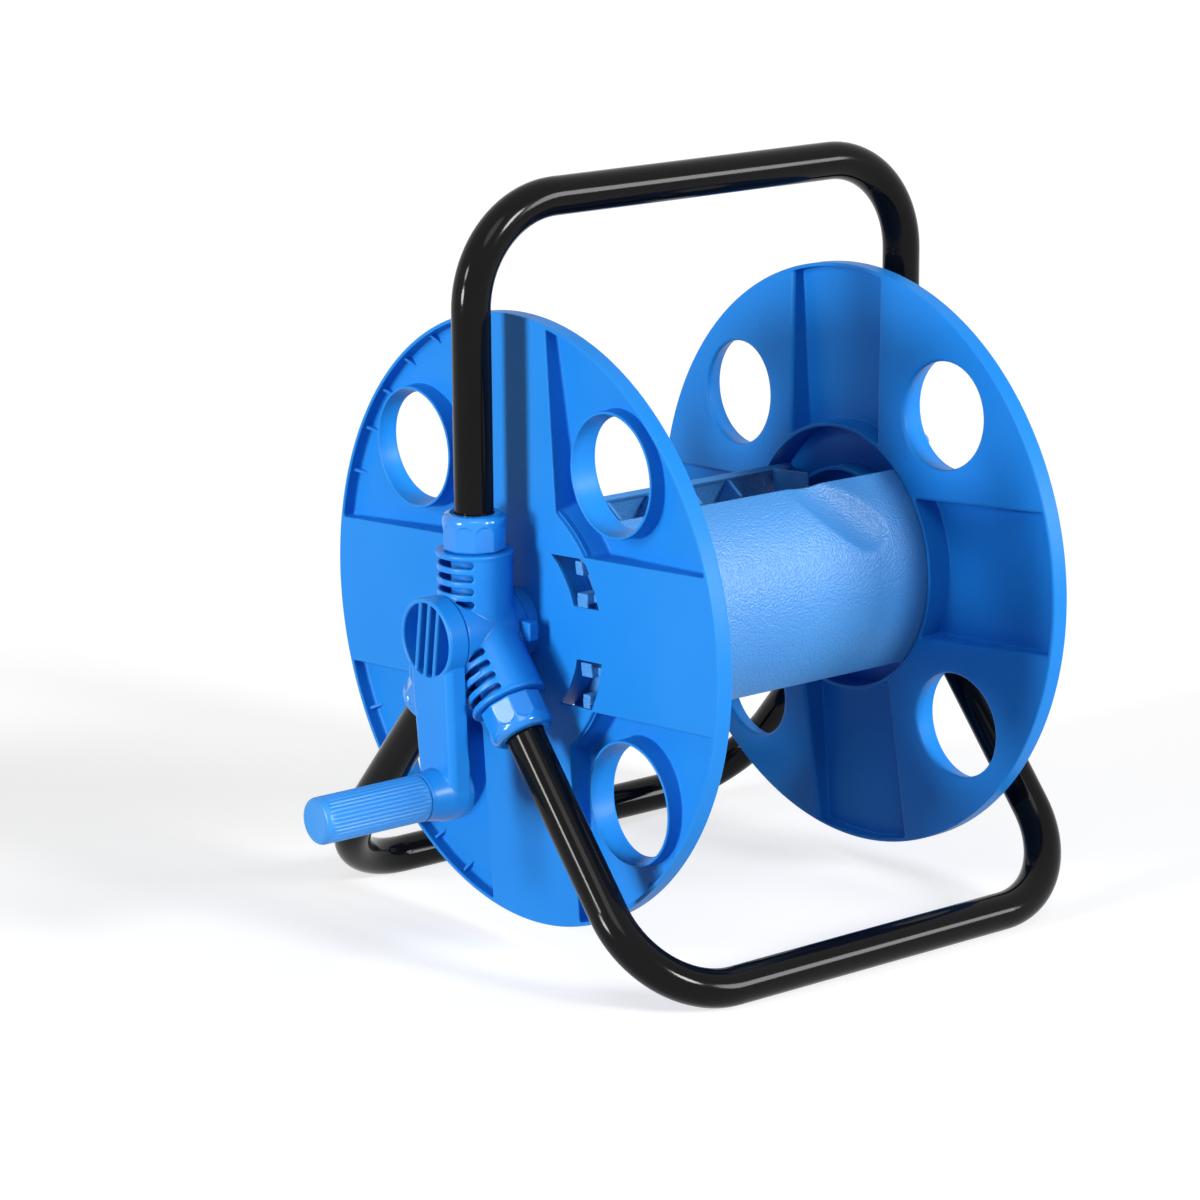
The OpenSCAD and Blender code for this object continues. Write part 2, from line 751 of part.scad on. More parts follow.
module pipe_screws() {
    color(steel) on_drum() translate([pipe_plate_x - 0.05, 0, 0]) rotate([0, 90, 0])
        for (a = hole_turn) rotate([0, 0, a]) translate([plate_screw_at, 0, 0]) difference() {
            union() {
                cylinder(r = plate_screw_r - 0.4, h = pipe_plate_t + plate_screw_len - 0.5);
                translate([0, 0, -2.2]) cylinder(r = plate_screw_r + 1.4, h = 2.2);
            }
            for (b = [0, 90]) rotate([0, 0, b]) translate([-1.8, -0.35, -3]) cube([3.6, 0.7, 1.8]);
        }
}

// The elbow inside the drum, which turns the water up to the hose in the open top of the core
module drum_elbow() {
    color(grey) on_drum() difference() {
        union() {
            x_rod(elbow_r, elbow_x - elbow_r + 4, elbow_end_x);
            translate([elbow_x, 0, 0]) {
                cylinder(r = branch_r, h = branch_top);
                cylinder(r = tail_r, h = tail_top);
                for (k = [1 : 3]) translate([0, 0, tail_top - k * barb_pitch])
                    cylinder(r1 = tail_r + 0.9, r2 = tail_r, h = barb_pitch - 0.6);
            }
        }
        x_rod(pipe_r + seat_gap, pipe_in_x - seat_gap, drum_half);
        x_rod(pipe_in_r - 1, elbow_x - 4, drum_half);
        x_rod(pipe_r + 2 * seal_r + 0.15, elbow_end_x - 6.6, elbow_end_x - 4);
        translate([elbow_x, 0, 0]) cylinder(r = water_r, h = core_r);
    }
}

module elbow_seal() {
    color(rubber) on_drum() translate([elbow_end_x - 5.3, 0, 0]) rotate([0, 90, 0])
        rotate_extrude() translate([pipe_r + seal_r + 0.05, 0]) circle(r = seal_r);
}

// The nut that clamps the hose on the elbow's tail
module hose_nut() {
    color(blue) on_drum() translate([elbow_x, 0, branch_top + 0.1]) difference() {
        cylinder(r = hose_nut_r, h = hose_nut_h);
        translate([0, 0, -cut]) cylinder(r = tail_r + 1.2, h = hose_nut_h + 2 * cut);
        for (i = [0 : 11]) rotate([0, 0, i * 30]) translate([hose_nut_r + 1, 0, -cut])
            cylinder(r = 2, h = hose_nut_h + 2 * cut);
    }
}

// The tap connector: its spigot turns in the water pipe and its nipple takes the supply hose
module inlet_connector() {
    collar_x = connector_x + connector_collar;
    color(grey) on_axle() difference() {
        union() {
            x_rod(spigot_out_r, spigot_in_x, connector_x + cut);
            x_rod(connector_collar_r, connector_x, collar_x);
            x_rod(nipple_r, collar_x, inlet_end - 1.5);
            translate([inlet_end - 1.5, 0, 0]) rotate([0, 90, 0])
                cylinder(r1 = nipple_r, r2 = nipple_r - 1.2, h = 1.5);
        }
        x_rod(water_r, spigot_in_x - cut, inlet_end + cut);
        x_ring(nipple_r + cut, nipple_r - 1.5, collar_x + nipple_len * 0.3, collar_x + nipple_len * 0.52);
        x_ring(nipple_r + cut, nipple_r - 1.2, inlet_end - 4.6, inlet_end - 2.6);
        for (x = seal_at) x_ring(pipe_r, spigot_out_r - 2 * seal_r - 0.1,
            spigot_in_x + x, spigot_in_x + x + seal_groove);
        x_ring(pipe_r, spigot_out_r - 1.2, clip_x - 0.2, clip_x + clip_t + 0.2);
        for (a = [0 : 60 : 300]) rotate([a, 0, 0])
            translate([connector_x - cut, connector_collar_r - 0.9, -socket_d / 2])
            cube([connector_collar + 2 * cut, socket_d, socket_d]);
    }
}

module connector_seals() {
    color(rubber) on_axle() for (x = seal_at)
        translate([spigot_in_x + x + seal_groove / 2, 0, 0]) rotate([0, 90, 0])
        rotate_extrude() translate([spigot_out_r - seal_r - 0.05, 0]) circle(r = seal_r);
}

// The spring ring that keeps the connector in the pipe
module connector_clip() {
    color(steel) on_axle() difference() {
        x_ring(pipe_in_r + 0.6, spigot_out_r - 1.1, clip_x, clip_x + clip_t);
        translate([clip_x - cut, -1.5, 0]) cube([clip_t + 2 * cut, 3, pipe_d]);
    }
}

handle_tube();
front_foot_tube();
rear_foot_tube();
crank_side_bracket();
inlet_side_bracket();
crank_handle_nut();
crank_front_nut();
crank_rear_nut();
inlet_handle_nut();
inlet_front_nut();
inlet_rear_nut();
tube_clamp_rings();
crank_side_flange();
inlet_side_flange();
front_core_shell();
rear_core_shell();
crank_arm();
crank_screw();
crank_washer();
grip_spindle();
crank_grip();
water_pipe();
pipe_screws();
drum_elbow();
elbow_seal();
hose_nut();
inlet_connector();
connector_seals();
connector_clip();
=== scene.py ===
# Hose reel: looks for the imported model, in metres, X along the axle with the crank at -X
import json
import math
import bmesh
import bpy
from mathutils import Matrix, Vector
from mathutils.geometry import delaunay_2d_cdt


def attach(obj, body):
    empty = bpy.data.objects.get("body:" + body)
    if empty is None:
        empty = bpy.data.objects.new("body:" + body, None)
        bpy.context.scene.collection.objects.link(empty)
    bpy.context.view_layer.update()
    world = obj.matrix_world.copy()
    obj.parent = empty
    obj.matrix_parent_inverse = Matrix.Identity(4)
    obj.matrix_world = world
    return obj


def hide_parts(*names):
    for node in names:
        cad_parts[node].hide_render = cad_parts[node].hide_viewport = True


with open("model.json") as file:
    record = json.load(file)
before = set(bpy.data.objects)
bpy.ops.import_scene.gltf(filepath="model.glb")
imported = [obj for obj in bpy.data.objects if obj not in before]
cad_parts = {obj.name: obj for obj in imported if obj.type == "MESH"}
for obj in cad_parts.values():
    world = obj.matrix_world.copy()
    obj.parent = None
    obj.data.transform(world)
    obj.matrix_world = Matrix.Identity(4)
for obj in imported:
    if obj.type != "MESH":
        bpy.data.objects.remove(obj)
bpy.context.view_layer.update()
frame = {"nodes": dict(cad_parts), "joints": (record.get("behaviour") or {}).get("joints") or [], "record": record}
mm = 0.001

joints = {joint["name"]: joint for joint in frame["joints"]}
drumCentre = Vector(joints["drum_spin"]["pos_m"])
print("frame loaded, drum centre", tuple(round(c, 4) for c in drumCentre))


def linked(name, data):
    thing = bpy.data.objects.new(name, data)
    bpy.context.scene.collection.objects.link(thing)
    return thing


# the way from the reel to a camera or a lamp: 0 degrees is the front, and elevation counts from the floor
def towards(azimuth, elevation):
    a, e = math.radians(azimuth), math.radians(elevation)
    return Vector((math.sin(a) * math.cos(e), -math.cos(a) * math.cos(e), math.sin(e)))


# camera at the photograph's viewing angle
cameraKit = {"azimuth": -38.22, "elevation": 14.29, "roll": -0.46, "distance": 2.071, "lens": 126.24,
             "sensor": 36, "near": 0.05, "far": 60, "target": (-0.0608, 0.0, 0.1675)}


def addCamera(kit):
    turn, roll = math.radians(kit["azimuth"]), math.radians(kit["roll"])
    back = towards(kit["azimuth"], kit["elevation"])
    right = Vector((math.cos(turn), math.sin(turn), 0))
    up = back.cross(right)
    side = right * math.cos(roll) + up * math.sin(roll)
    top = up * math.cos(roll) - right * math.sin(roll)
    data = bpy.data.cameras.new("camera")
    data.sensor_width = kit["sensor"]
    data.lens = kit["lens"]
    data.clip_start, data.clip_end = kit["near"], kit["far"]
    camera = linked("camera", data)
    place = Matrix((side, top, back)).transposed().to_4x4()
    target = Vector(kit["target"]) + Vector((drumCentre.x, 0, 0))
    place.translation = target + back * kit["distance"]
    camera.matrix_world = place
    bpy.context.scene.camera = camera


addCamera(cameraKit)
bpy.context.scene.view_settings.view_transform = "Standard"


# a socket takes a link from a wire, or else a plain value
def feed(tree, socket, value):
    if isinstance(value, Wire):
        tree.links.new(value.socket, socket)
    else:
        socket.default_value = value


# one value of a shader, so that maths on it reads as maths
class Wire:
    def __init__(self, tree, socket):
        self.tree, self.socket = tree, socket

    def math(self, operation, first, second):
        node = self.tree.nodes.new("ShaderNodeMath")
        node.operation = operation
        feed(self.tree, node.inputs[0], first)
        feed(self.tree, node.inputs[1], second)
        return Wire(self.tree, node.outputs[0])

    def __add__(self, other):
        return self.math("ADD", self, other)

    def __radd__(self, other):
        return self.math("ADD", other, self)

    def __sub__(self, other):
        return self.math("SUBTRACT", self, other)

    def __rsub__(self, other):
        return self.math("SUBTRACT", other, self)

    def __mul__(self, other):
        return self.math("MULTIPLY", self, other)

    def __rmul__(self, other):
        return self.math("MULTIPLY", other, self)

    def clip(self):
        return self.math("MINIMUM", self.math("MAXIMUM", self, 0.0), 1.0)


# a tree of nodes, with one method for every node that isn't plain maths
class NodeTree:
    def __init__(self, tree):
        self.tree = tree

    def node(self, kind, settings, sockets, output=0):
        node = self.tree.nodes.new(kind)
        for key, value in settings.items():
            setattr(node, key, value)
        for key, value in sockets.items():
            feed(self.tree, node.inputs[key], value)
        return Wire(self.tree, node.outputs[output])


# a material and the nodes that its finishes share
class Paint(NodeTree):
    def __init__(self, name):
        self.material = bpy.data.materials.new(name)
        self.material.use_nodes = True
        super().__init__(self.material.node_tree)
        self.shader = self.tree.nodes["Principled BSDF"]
        self.place = self.node("ShaderNodeTexCoord", {}, {}, "Object")

    def noise(self, scale, detail, where=None, output=0):
        sockets = {"Vector": where or self.place, "Scale": scale, "Detail": detail}
        return self.node("ShaderNodeTexNoise", {}, sockets, output)

    def vector(self, operation, first, second):
        key = "Scale" if operation == "SCALE" else 1
        return self.node("ShaderNodeVectorMath", {"operation": operation}, {0: first, key: second})

    # places that are pushed about at random, up to half of reach each way
    def warped(self, scale, reach):
        push = self.vector("SUBTRACT", self.noise(scale, 1.0, output="Color"), (0.5, 0.5, 0.5))
        return self.vector("ADD", self.place, self.vector("SCALE", push, reach))

    # sockets 6 and 7 are the two colours of a Mix node, and output 2 is the mixed one
    def mixed(self, factor, first, second):
        return self.node("ShaderNodeMix", {"data_type": "RGBA"}, {0: factor, 6: first, 7: second}, 2)

    def bumped(self, height, distance, under=None):
        sockets = {"Height": height, "Distance": distance, "Strength": 1.0}
        if under:
            sockets["Normal"] = under
        return self.node("ShaderNodeBump", {}, sockets)

    # edges that look rounded, or none where the radius is 0
    def rounded(self, radius):
        return self.node("ShaderNodeBevel", {"samples": 4}, {"Radius": radius}) if radius else None

    # pointiness, which paintBlue uses to paint a highlight along the edges
    def edges(self):
        return self.node("ShaderNodeNewGeometry", {}, {}, "Pointiness")

    def done(self, **sockets):
        names = {"color": "Base Color", "roughness": "Roughness", "metallic": "Metallic", "normal": "Normal",
                 "specular": "Specular IOR Level"}
        for key, value in sockets.items():
            feed(self.tree, self.shader.inputs[names[key]], value)
        return self.material


# moulded blue plastic: cloudy colour, a painted highlight that makes the edges paler, fine grain, and leather
# grain where pebble has a scale
bluePlastic = {"color": (0.012, 0.228, 0.70, 1), "deep": (0.010, 0.205, 0.65, 1), "cloud": 14,
               "cloudFrom": 0.35, "cloudGain": 1.6, "edge": (0.045, 0.33, 0.84, 1), "highlightFrom": 0.515,
               "highlightGain": 9, "highlightMix": 0.3, "roughness": 0.40, "cloudRough": 0.10, "speck": 900,
               "speckRough": 0.06, "specular": 0.35, "grain": 1400, "grainDepth": 0.00003, "rounding": 0,
               "pebble": 0, "pebbleDepth": 0.00038, "pebbleRough": 0.2, "warp": 260, "warpReach": 0.0012}


def paintBlue(name, **changes):
    kit = {**bluePlastic, **changes}
    p = Paint(name)
    cloud = p.noise(kit["cloud"], 3)
    speck = p.noise(kit["speck"], 1)
    color = p.mixed(((cloud - kit["cloudFrom"]) * kit["cloudGain"]).clip(), kit["deep"], kit["color"])
    # painted highlight: the edge colour is mixed in where pointiness is high, as if light caught the edges
    edge = ((p.edges() - kit["highlightFrom"]) * kit["highlightGain"]).clip()
    color = p.mixed(edge * kit["highlightMix"], color, kit["edge"])
    rough = kit["roughness"] + (cloud - 0.5) * kit["cloudRough"] + (speck - 0.5) * kit["speckRough"]
    under = p.rounded(kit["rounding"])
    if kit["pebble"]:
        sockets = {"Vector": p.warped(kit["warp"], kit["warpReach"]), "Scale": kit["pebble"]}
        cells = p.node("ShaderNodeTexVoronoi", {"feature": "SMOOTH_F1"}, sockets)
        under = p.bumped(1 - cells, kit["pebbleDepth"], under)
        rough = rough + (cells - 0.4) * kit["pebbleRough"]
    grain = p.bumped(p.noise(kit["grain"], 2), kit["grainDepth"], under)
    return p.done(color=color, roughness=rough, normal=grain, specular=kit["specular"])


# gloss black paint: a little dust in the colour, and a faint orange peel
blackPaint = {"color": (0.003, 0.003, 0.0035, 1), "dust": (0.005, 0.005, 0.006, 1), "cloud": 30,
              "dustFrom": 0.55, "dustGain": 1.5, "roughness": 0.11, "cloudRough": 0.10, "peel": 260,
              "peelDepth": 0.000006, "specular": 0.12}


def paintBlack(name, kit):
    p = Paint(name)
    cloud = p.noise(kit["cloud"], 4)
    color = p.mixed((cloud - kit["dustFrom"]) * kit["dustGain"], kit["color"], kit["dust"])
    rough = kit["roughness"] + (cloud - 0.5) * kit["cloudRough"]
    peel = p.bumped(p.noise(kit["peel"], 1), kit["peelDepth"])
    return p.done(color=color, roughness=rough, normal=peel, specular=kit["specular"])


# zinc on steel: crystal patches under fine brush lines
zincSteel = {"color": (0.55, 0.56, 0.58, 1), "dull": (0.38, 0.39, 0.41, 1), "patch": 900, "patchMix": 0.6,
             "brush": 500, "brushStretch": (1, 12, 1), "brushDepth": 0.00002, "roughness": 0.32,
             "brushRough": 0.2, "rounding": 0.0003}


def paintSteel(name, kit):
    p = Paint(name)
    patch = p.node("ShaderNodeTexVoronoi", {}, {"Vector": p.place, "Scale": kit["patch"]})
    brush = p.noise(kit["brush"], 2, p.vector("MULTIPLY", p.place, kit["brushStretch"]))
    color = p.mixed(patch * kit["patchMix"], kit["color"], kit["dull"])
    rough = kit["roughness"] + (brush - 0.5) * kit["brushRough"]
    lines = p.bumped(brush, kit["brushDepth"], p.rounded(kit["rounding"]))
    return p.done(color=color, roughness=rough, metallic=1.0, normal=lines)


# matte grey plastic and black rubber: two tones in soft clouds, and a fine grain
greyPlastic = {"color": (0.035, 0.037, 0.041, 1), "light": (0.07, 0.072, 0.078, 1), "cloud": 40,
               "roughness": 0.5, "cloudRough": 0.2, "grain": 2200, "grainDepth": 0.00003, "rounding": 0.0004}
blackRubber = {"color": (0.012, 0.012, 0.013, 1), "light": (0.03, 0.03, 0.032, 1), "cloud": 120,
               "roughness": 0.62, "cloudRough": 0.2, "grain": 3000, "grainDepth": 0.00002, "rounding": 0}


def paintMatte(name, kit):
    p = Paint(name)
    cloud = p.noise(kit["cloud"], 3)
    color = p.mixed(cloud, kit["color"], kit["light"])
    rough = kit["roughness"] + (cloud - 0.5) * kit["cloudRough"]
    grain = p.bumped(p.noise(kit["grain"], 2), kit["grainDepth"], p.rounded(kit["rounding"]))
    return p.done(color=color, roughness=rough, normal=grain)


cadPaints = {"blue_plastic": paintBlue("blue plastic", rounding=0.0006),
             "black_tube": paintBlack("black paint", blackPaint),
             "steel": paintSteel("zinc steel", zincSteel),
             "grey_plastic": paintMatte("grey plastic", greyPlastic),
             "black_rubber": paintMatte("black rubber", blackRubber)}
slotOf = {s["node"]: s["material_slot"] for s in frame["record"]["subparts"]}
for nodeName, cadObject in frame["nodes"].items():
    cadObject.data.materials.clear()
    cadObject.data.materials.append(cadPaints[slotOf[nodeName]])
print("materials on", len(frame["nodes"]), "nodes")


def circleLoop(radius, count, centre=(0, 0)):
    turns = [2 * math.pi * i / count for i in range(count)]
    return [(centre[0] + radius * math.cos(t), centre[1] + radius * math.sin(t)) for t in turns]


# a flat loop at a height, which is a number or a function of the place
def raised(loop, height):
    return [(u, v, height(u, v) if callable(height) else height) for u, v in loop]


def flat(row):
    return [p[:2] for p in row]


def clamped(share):
    return min(max(share, 0), 1)


# 0 to 1 with soft ends
def eased(share):
    share = clamped(share)
    return share * share * (3 - 2 * share)


# places with one pitch, evenly about 0
def spaced(count, pitch):
    return [(k - (count - 1) / 2) * pitch for k in range(count)]


# mesh code shared by the pieces, with lengths in millimetres until a mesh is finished
class Mesher:
    def __init__(self):
        self.points, self.faces = [], []

    def add(self, points, faces):
        start = len(self.points)
        self.points += [tuple(p) for p in points]
        self.faces += [tuple(start + i for i in f) for f in faces]

    # a skin through rows of points, each row a closed loop
    def sweep(self, rows):
        count = len(rows[0])
        faces = []
        for r in range(len(rows) - 1):
            this, following = r * count, (r + 1) * count
            for i in range(count):
                j = (i + 1) % count
                faces.append((this + i, this + j, following + j, following + i))
        self.add([p for row in rows for p in row], faces)

    def sweepSolid(self, rows):
        start, count = len(self.points), len(rows[0])
        last = start + (len(rows) - 1) * count
        self.sweep(rows)
        self.faces += [tuple(reversed(range(start, start + count))), tuple(range(last, last + count))]

    # round z, from (radius, z) places
    def revolve(self, profile, count):
        self.sweep([raised(circleLoop(r, count), z) for r, z in profile])

    # round an axle along x, from (radius, x) places
    def lathe(self, profile, centre=(0, 0), count=96):
        self.sweep([[(x, y, z) for y, z in circleLoop(r, count, centre)] for r, x in profile])

    def latheSolid(self, profile, centre=(0, 0), count=96):
        start = len(self.points)
        self.lathe(profile, centre, count)
        last = start + (len(profile) - 1) * count
        self.faces += [tuple(range(start, start + count)), tuple(reversed(range(last, last + count)))]

    def prism(self, first, second):
        n = len(first)
        caps = [tuple(range(n)), tuple(reversed(range(n, 2 * n)))]
        self.add(first + second, caps + [(i, (i + 1) % n, (i + 1) % n + n, i + n) for i in range(n)])

    def box(self, low, high):
        (a, b, c), (d, e, f) = low, high
        corners = [(x, y, z) for z in (c, f) for x, y in ((a, b), (d, b), (d, e), (a, e))]
        sides = [(i, (i + 1) % 4, (i + 1) % 4 + 4, i + 4) for i in range(4)]
        self.add(corners, [(0, 3, 2, 1), (4, 5, 6, 7)] + sides)

    # a box with soft edges, which take up to thinShare of its thinnest side
    def softBox(self, low, high, soft, thinShare=0.3):
        work = bmesh.new()
        bmesh.ops.create_cube(work, size=1)
        for v in work.verts:
            v.co = Vector([(a + b) / 2 + c * (b - a) for a, b, c in zip(low, high, v.co)])
        soft = min([soft] + [thinShare * (b - a) for a, b in zip(low, high)])
        bmesh.ops.bevel(work, geom=list(work.edges), offset=soft, segments=2, profile=0.5, affect="EDGES")
        work.verts.index_update()
        self.add([v.co for v in work.verts], [[v.index for v in f.verts] for f in work.faces])
        work.free()

    # sharp in degrees, and weld in thousandths of the finished mesh's unit
    def mesh(self, name, place, sharp, weld=0.002):
        mesh = bpy.data.meshes.new(name)
        mesh.from_pydata([place @ Vector(p) for p in self.points], [], self.faces)
        work = bmesh.new()
        work.from_mesh(mesh)
        bmesh.ops.remove_doubles(work, verts=work.verts, dist=weld * mm)
        bmesh.ops.dissolve_degenerate(work, edges=work.edges, dist=weld * mm)
        bmesh.ops.recalc_face_normals(work, faces=work.faces)
        work.to_mesh(mesh)
        work.free()
        mesh.shade_smooth()
        mesh.set_sharp_from_angle(angle=math.radians(sharp))
        return mesh


def insideLoops(u, v, loops):
    inside = False
    for loop in loops:
        for (a, b), (c, d) in zip(loop, loop[1:] + loop[:1]):
            if (b > v) != (d > v) and u < (c - a) * (v - b) / (d - b) + a:
                inside = not inside
    return inside


# a face between loops, with inner points that stay clear of the loops' own points
def fillLevel(mesher, loops, height, inner=(), clear=2.2):
    points, edges = [], []
    for loop in loops:
        start = len(points)
        points += [Vector(p) for p in loop]
        edges += [(start + i, start + (i + 1) % len(loop)) for i in range(len(loop))]
    border = list(points)
    for p in inner:
        if insideLoops(p[0], p[1], loops) and min((Vector(p) - b).length for b in border) > clear:
            points.append(Vector(p))
    verts, _, faces = delaunay_2d_cdt(points, edges, [], 0, 1e-5)[:3]
    keep = []
    for face in faces:
        middle = sum((verts[i] for i in face), Vector((0, 0))) / len(face)
        if insideLoops(middle.x, middle.y, loops):
            keep.append(face)
    mesher.add(raised([(v.x, v.y) for v in verts], height), keep)


# the points of a rounded corner, without its two ends
def corner(start, bend, end, steps=4):
    out = []
    for i in range(1, steps):
        t = i / steps
        first, second, third = (1 - t) ** 2, 2 * t * (1 - t), t * t
        out.append(tuple(first * a + second * b + third * c for a, b, c in zip(start, bend, end)))
    return out


def arcBetween(radius, first, last, count, trim):
    cut = trim / radius * (1 if last > first else -1)
    first, last = first + cut, last - cut
    turns = [first + (last - first) * i / (count - 1) for i in range(count)]
    return [(radius * math.cos(t), radius * math.sin(t)) for t in turns]


def lineBetween(first, last, count, trim):
    a, b = Vector(first), Vector(last)
    step = (b - a).normalized() * trim
    a, b = a + step, b - step
    return [tuple(a + (b - a) * (i / (count - 1))) for i in range(count)]


# a closed outline of sides whose corners are rounded, with each side's share in its points
def joinSides(sides, corners):
    outline, shares = [], []
    for k, (side, kind) in enumerate(sides):
        following, nextKind = sides[(k + 1) % len(sides)]
        outline += side
        shares += [kind] * len(side)
        bend = corner(side[-1], corners[k], following[0])
        outline += bend
        shares += [kind + (nextKind - kind) * (i + 1) / (len(bend) + 1) for i in range(len(bend))]
    return outline, shares


# line, outer arc, line and inner arc through four corners, with share 1 along the lines and 0 on the arcs
# each arc is its radius, first and last angle and number of points
def sectorLoop(ends, lineCount, outer, inner, trim):
    sides = [(lineBetween(ends[0], ends[1], lineCount, trim), 1), (arcBetween(*outer, trim), 0),
             (lineBetween(ends[2], ends[3], lineCount, trim), 1), (arcBetween(*inner, trim), 0)]
    return joinSides(sides, ends[1:] + ends[:1])


def mirrored(loop, sign):
    return [(sign[0] * u, sign[1] * v) for u, v in loop]


# the moulded flanges: u to the back, v up, z from the outer face towards the drum
flangeKit = {"rim": 151.0, "rimIn": 149.0, "rimDepth": 9.0, "hub": 66.5, "hubDraft": 3.0, "hubDepth": 16.0,
             "hubIn": 67.5, "wall": 2.0, "bandUp": 35.0, "bandAcross": 37.5, "lip": 0.8, "root": 1.5,
             "holeAt": 111.5, "hole": 27.0, "holeMouth": 29.0, "collar": 30.6, "tube": 46.5,
             "tubeDepth": 13.5, "slotLow": 13.0, "slotHigh": 36.5, "slotIn": 47.0, "slotOut": 65.5,
             "gussets": 5, "gussetPitch": 10.2, "gussetHalf": 0.75, "shoulder": 17.0, "shoulderEnd": 5.7,
             "journal": 14.0, "journalEnd": 42.7, "boreStep": 5.0, "pin": 3.7,
             "pins": [(54.3, 53.3), (57.0, 116.5), (115.0, 57.5)], "rimSteps": 192, "hubSteps": 120,
             "tubeSteps": 96, "holeSteps": 72, "pinSteps": 32, "lineSteps": 22}
quarterTurn = [math.pi / 2 * k / 4 for k in range(5)]
quadrants = [(1, 1), (-1, 1), (-1, -1), (1, -1)]


# the panel's back leans from the hub down to the rim, and its front is one wall before it
def panelBack(u, v):
    kit = flangeKit
    ring = kit["hubIn"] + kit["wall"]
    share = clamped((math.hypot(u, v) - ring) / (kit["rimIn"] - 1 - ring))
    return kit["hubDepth"] - share * (kit["hubDepth"] - kit["rimDepth"])


def panelFront(u, v):
    return panelBack(u, v) - flangeKit["wall"]


def pocketLoop(kit, inset, share, sign):
    big, small = kit["rimIn"] - inset, kit["hub"] + kit["hubDraft"] * share + inset
    u, v = kit["bandUp"] + inset, kit["bandAcross"] + inset
    low, high = math.asin(v / big), math.acos(u / big)
    near, far = math.asin(v / small), math.acos(u / small)
    ends = [(small * math.cos(near), v), (big * math.cos(low), v),
            (u, big * math.sin(high)), (u, small * math.sin(far))]
    outer, inner = (big, low, high, 40), (small, far, near, 14)
    outline, _ = sectorLoop(ends, kit["lineSteps"], outer, inner, 1.6 - inset * 0.5)
    return mirrored(outline, sign)


def channelLoop(kit, lineInset, arcInset, quarter):
    half = kit["bandUp" if quarter % 2 else "bandAcross"] - kit["wall"] - lineInset
    big, small = kit["rimIn"] - arcInset, kit["hubIn"] + kit["wall"] + arcInset
    low, near = math.asin(half / big), math.asin(half / small)
    ends = [(small * math.cos(near), -half), (big * math.cos(low), -half),
            (big * math.cos(low), half), (small * math.cos(near), half)]
    outer, inner = (big, -low, low, 30), (small, near, -near, 20)
    outline, shares = sectorLoop(ends, kit["lineSteps"], outer, inner, 1.4)
    turn = Matrix.Rotation(quarter * math.pi / 2, 2)
    return [tuple(turn @ Vector(p)) for p in outline], shares


def slotLoop(kit, inset, sign):
    low, high = kit["slotLow"] + inset, kit["slotHigh"] - inset
    small, big = kit["slotIn"] + inset, kit["slotOut"] - inset
    angles = [math.asin(low / small), math.asin(low / big), math.asin(high / big), math.asin(high / small)]
    ends = [(r * math.cos(t), r * math.sin(t)) for r, t in zip((small, big, big, small), angles)]
    outline, _ = sectorLoop(ends, 5, (big, angles[1], angles[2], 8), (small, angles[3], angles[0], 8), 0.6)
    return mirrored(outline, sign)


# points on rings round the flange's centre, so that a filled face has no long thin parts
def polarGrid(first, last, step):
    grid = []
    rings = int((last - first) / step)
    for k in range(rings + 1):
        r = first + (last - first) * k / rings
        grid += circleLoop(r, int(2 * math.pi * r / (step * 1.15)))
    return grid


# a pocket's rounded lip and its walls, down to the rounded foot
def addPocket(m, kit, sign):
    rows = []
    for t in quarterTurn:
        loop = pocketLoop(kit, kit["lip"] * (math.sin(t) - 1), 0, sign)
        rows.append(raised(loop, kit["lip"] * (1 - math.cos(t))))
    for t in quarterTurn:
        rise = kit["root"] * (1 - math.sin(t))
        loop = pocketLoop(kit, kit["root"] * (1 - math.cos(t)), 1, sign)
        rows.append([(u, v, panelFront(u, v) - rise) for u, v in loop])
    m.sweep(rows)
    return flat(rows[0])


# the collar round a hand hole and the hole itself, from the pocket's floor to the panel's back
def addHandHole(m, kit, sign, centre):
    def ring(radius):
        return circleLoop(radius, kit["holeSteps"], centre)

    collar, mouth, narrow = kit["collar"], kit["holeMouth"], kit["holeMouth"] - kit["hole"]
    foot = collar + 1.2
    rows = []
    for inset, rise in ((0, 0), (0.7, 0.25), (1.1, 1.0)):
        rows.append([(u, v, panelFront(u, v) - rise) for u, v in ring(foot - inset)])
    for inset, z in ((0.05, 0.9), (0.25, 0.3), (0.7, 0.0)):
        rows.append(raised(ring(collar - inset), z))
    for grow, z in ((0.55, 0.0), (0.15, 0.25), (0.0, 0.8)):
        rows.append(raised(ring(mouth + grow), z))
    for share in (0.5, 1.0):
        rows.append([(u, v, 0.8 + share * (panelBack(u, v) - 3.0)) for u, v in ring(mouth - narrow * share)])
    for t in quarterTurn[1:]:
        drop = narrow * (1 - math.sin(t))
        loop = ring(kit["hole"] + narrow * (1 - math.cos(t)))
        rows.append([(u, v, panelBack(u, v) - drop) for u, v in loop])
    m.sweep(rows)
    near = [p for p in polarGrid(72, 146, 9) if p[0] * sign[0] > 0 and p[1] * sign[1] > 0]
    fillLevel(m, [pocketLoop(kit, kit["root"], 1, sign), ring(foot)], panelFront, near)


# a clip opening through the hub's face
def addSlot(m, kit, sign):
    rows = [raised(slotLoop(kit, inset, sign), z)
            for inset, z in ((-0.4, 0), (-0.1, 0.12), (0, 0.4), (0, 1.7), (-0.2, kit["wall"]))]
    m.sweep(rows)
    return flat(rows[0]), flat(rows[-1])


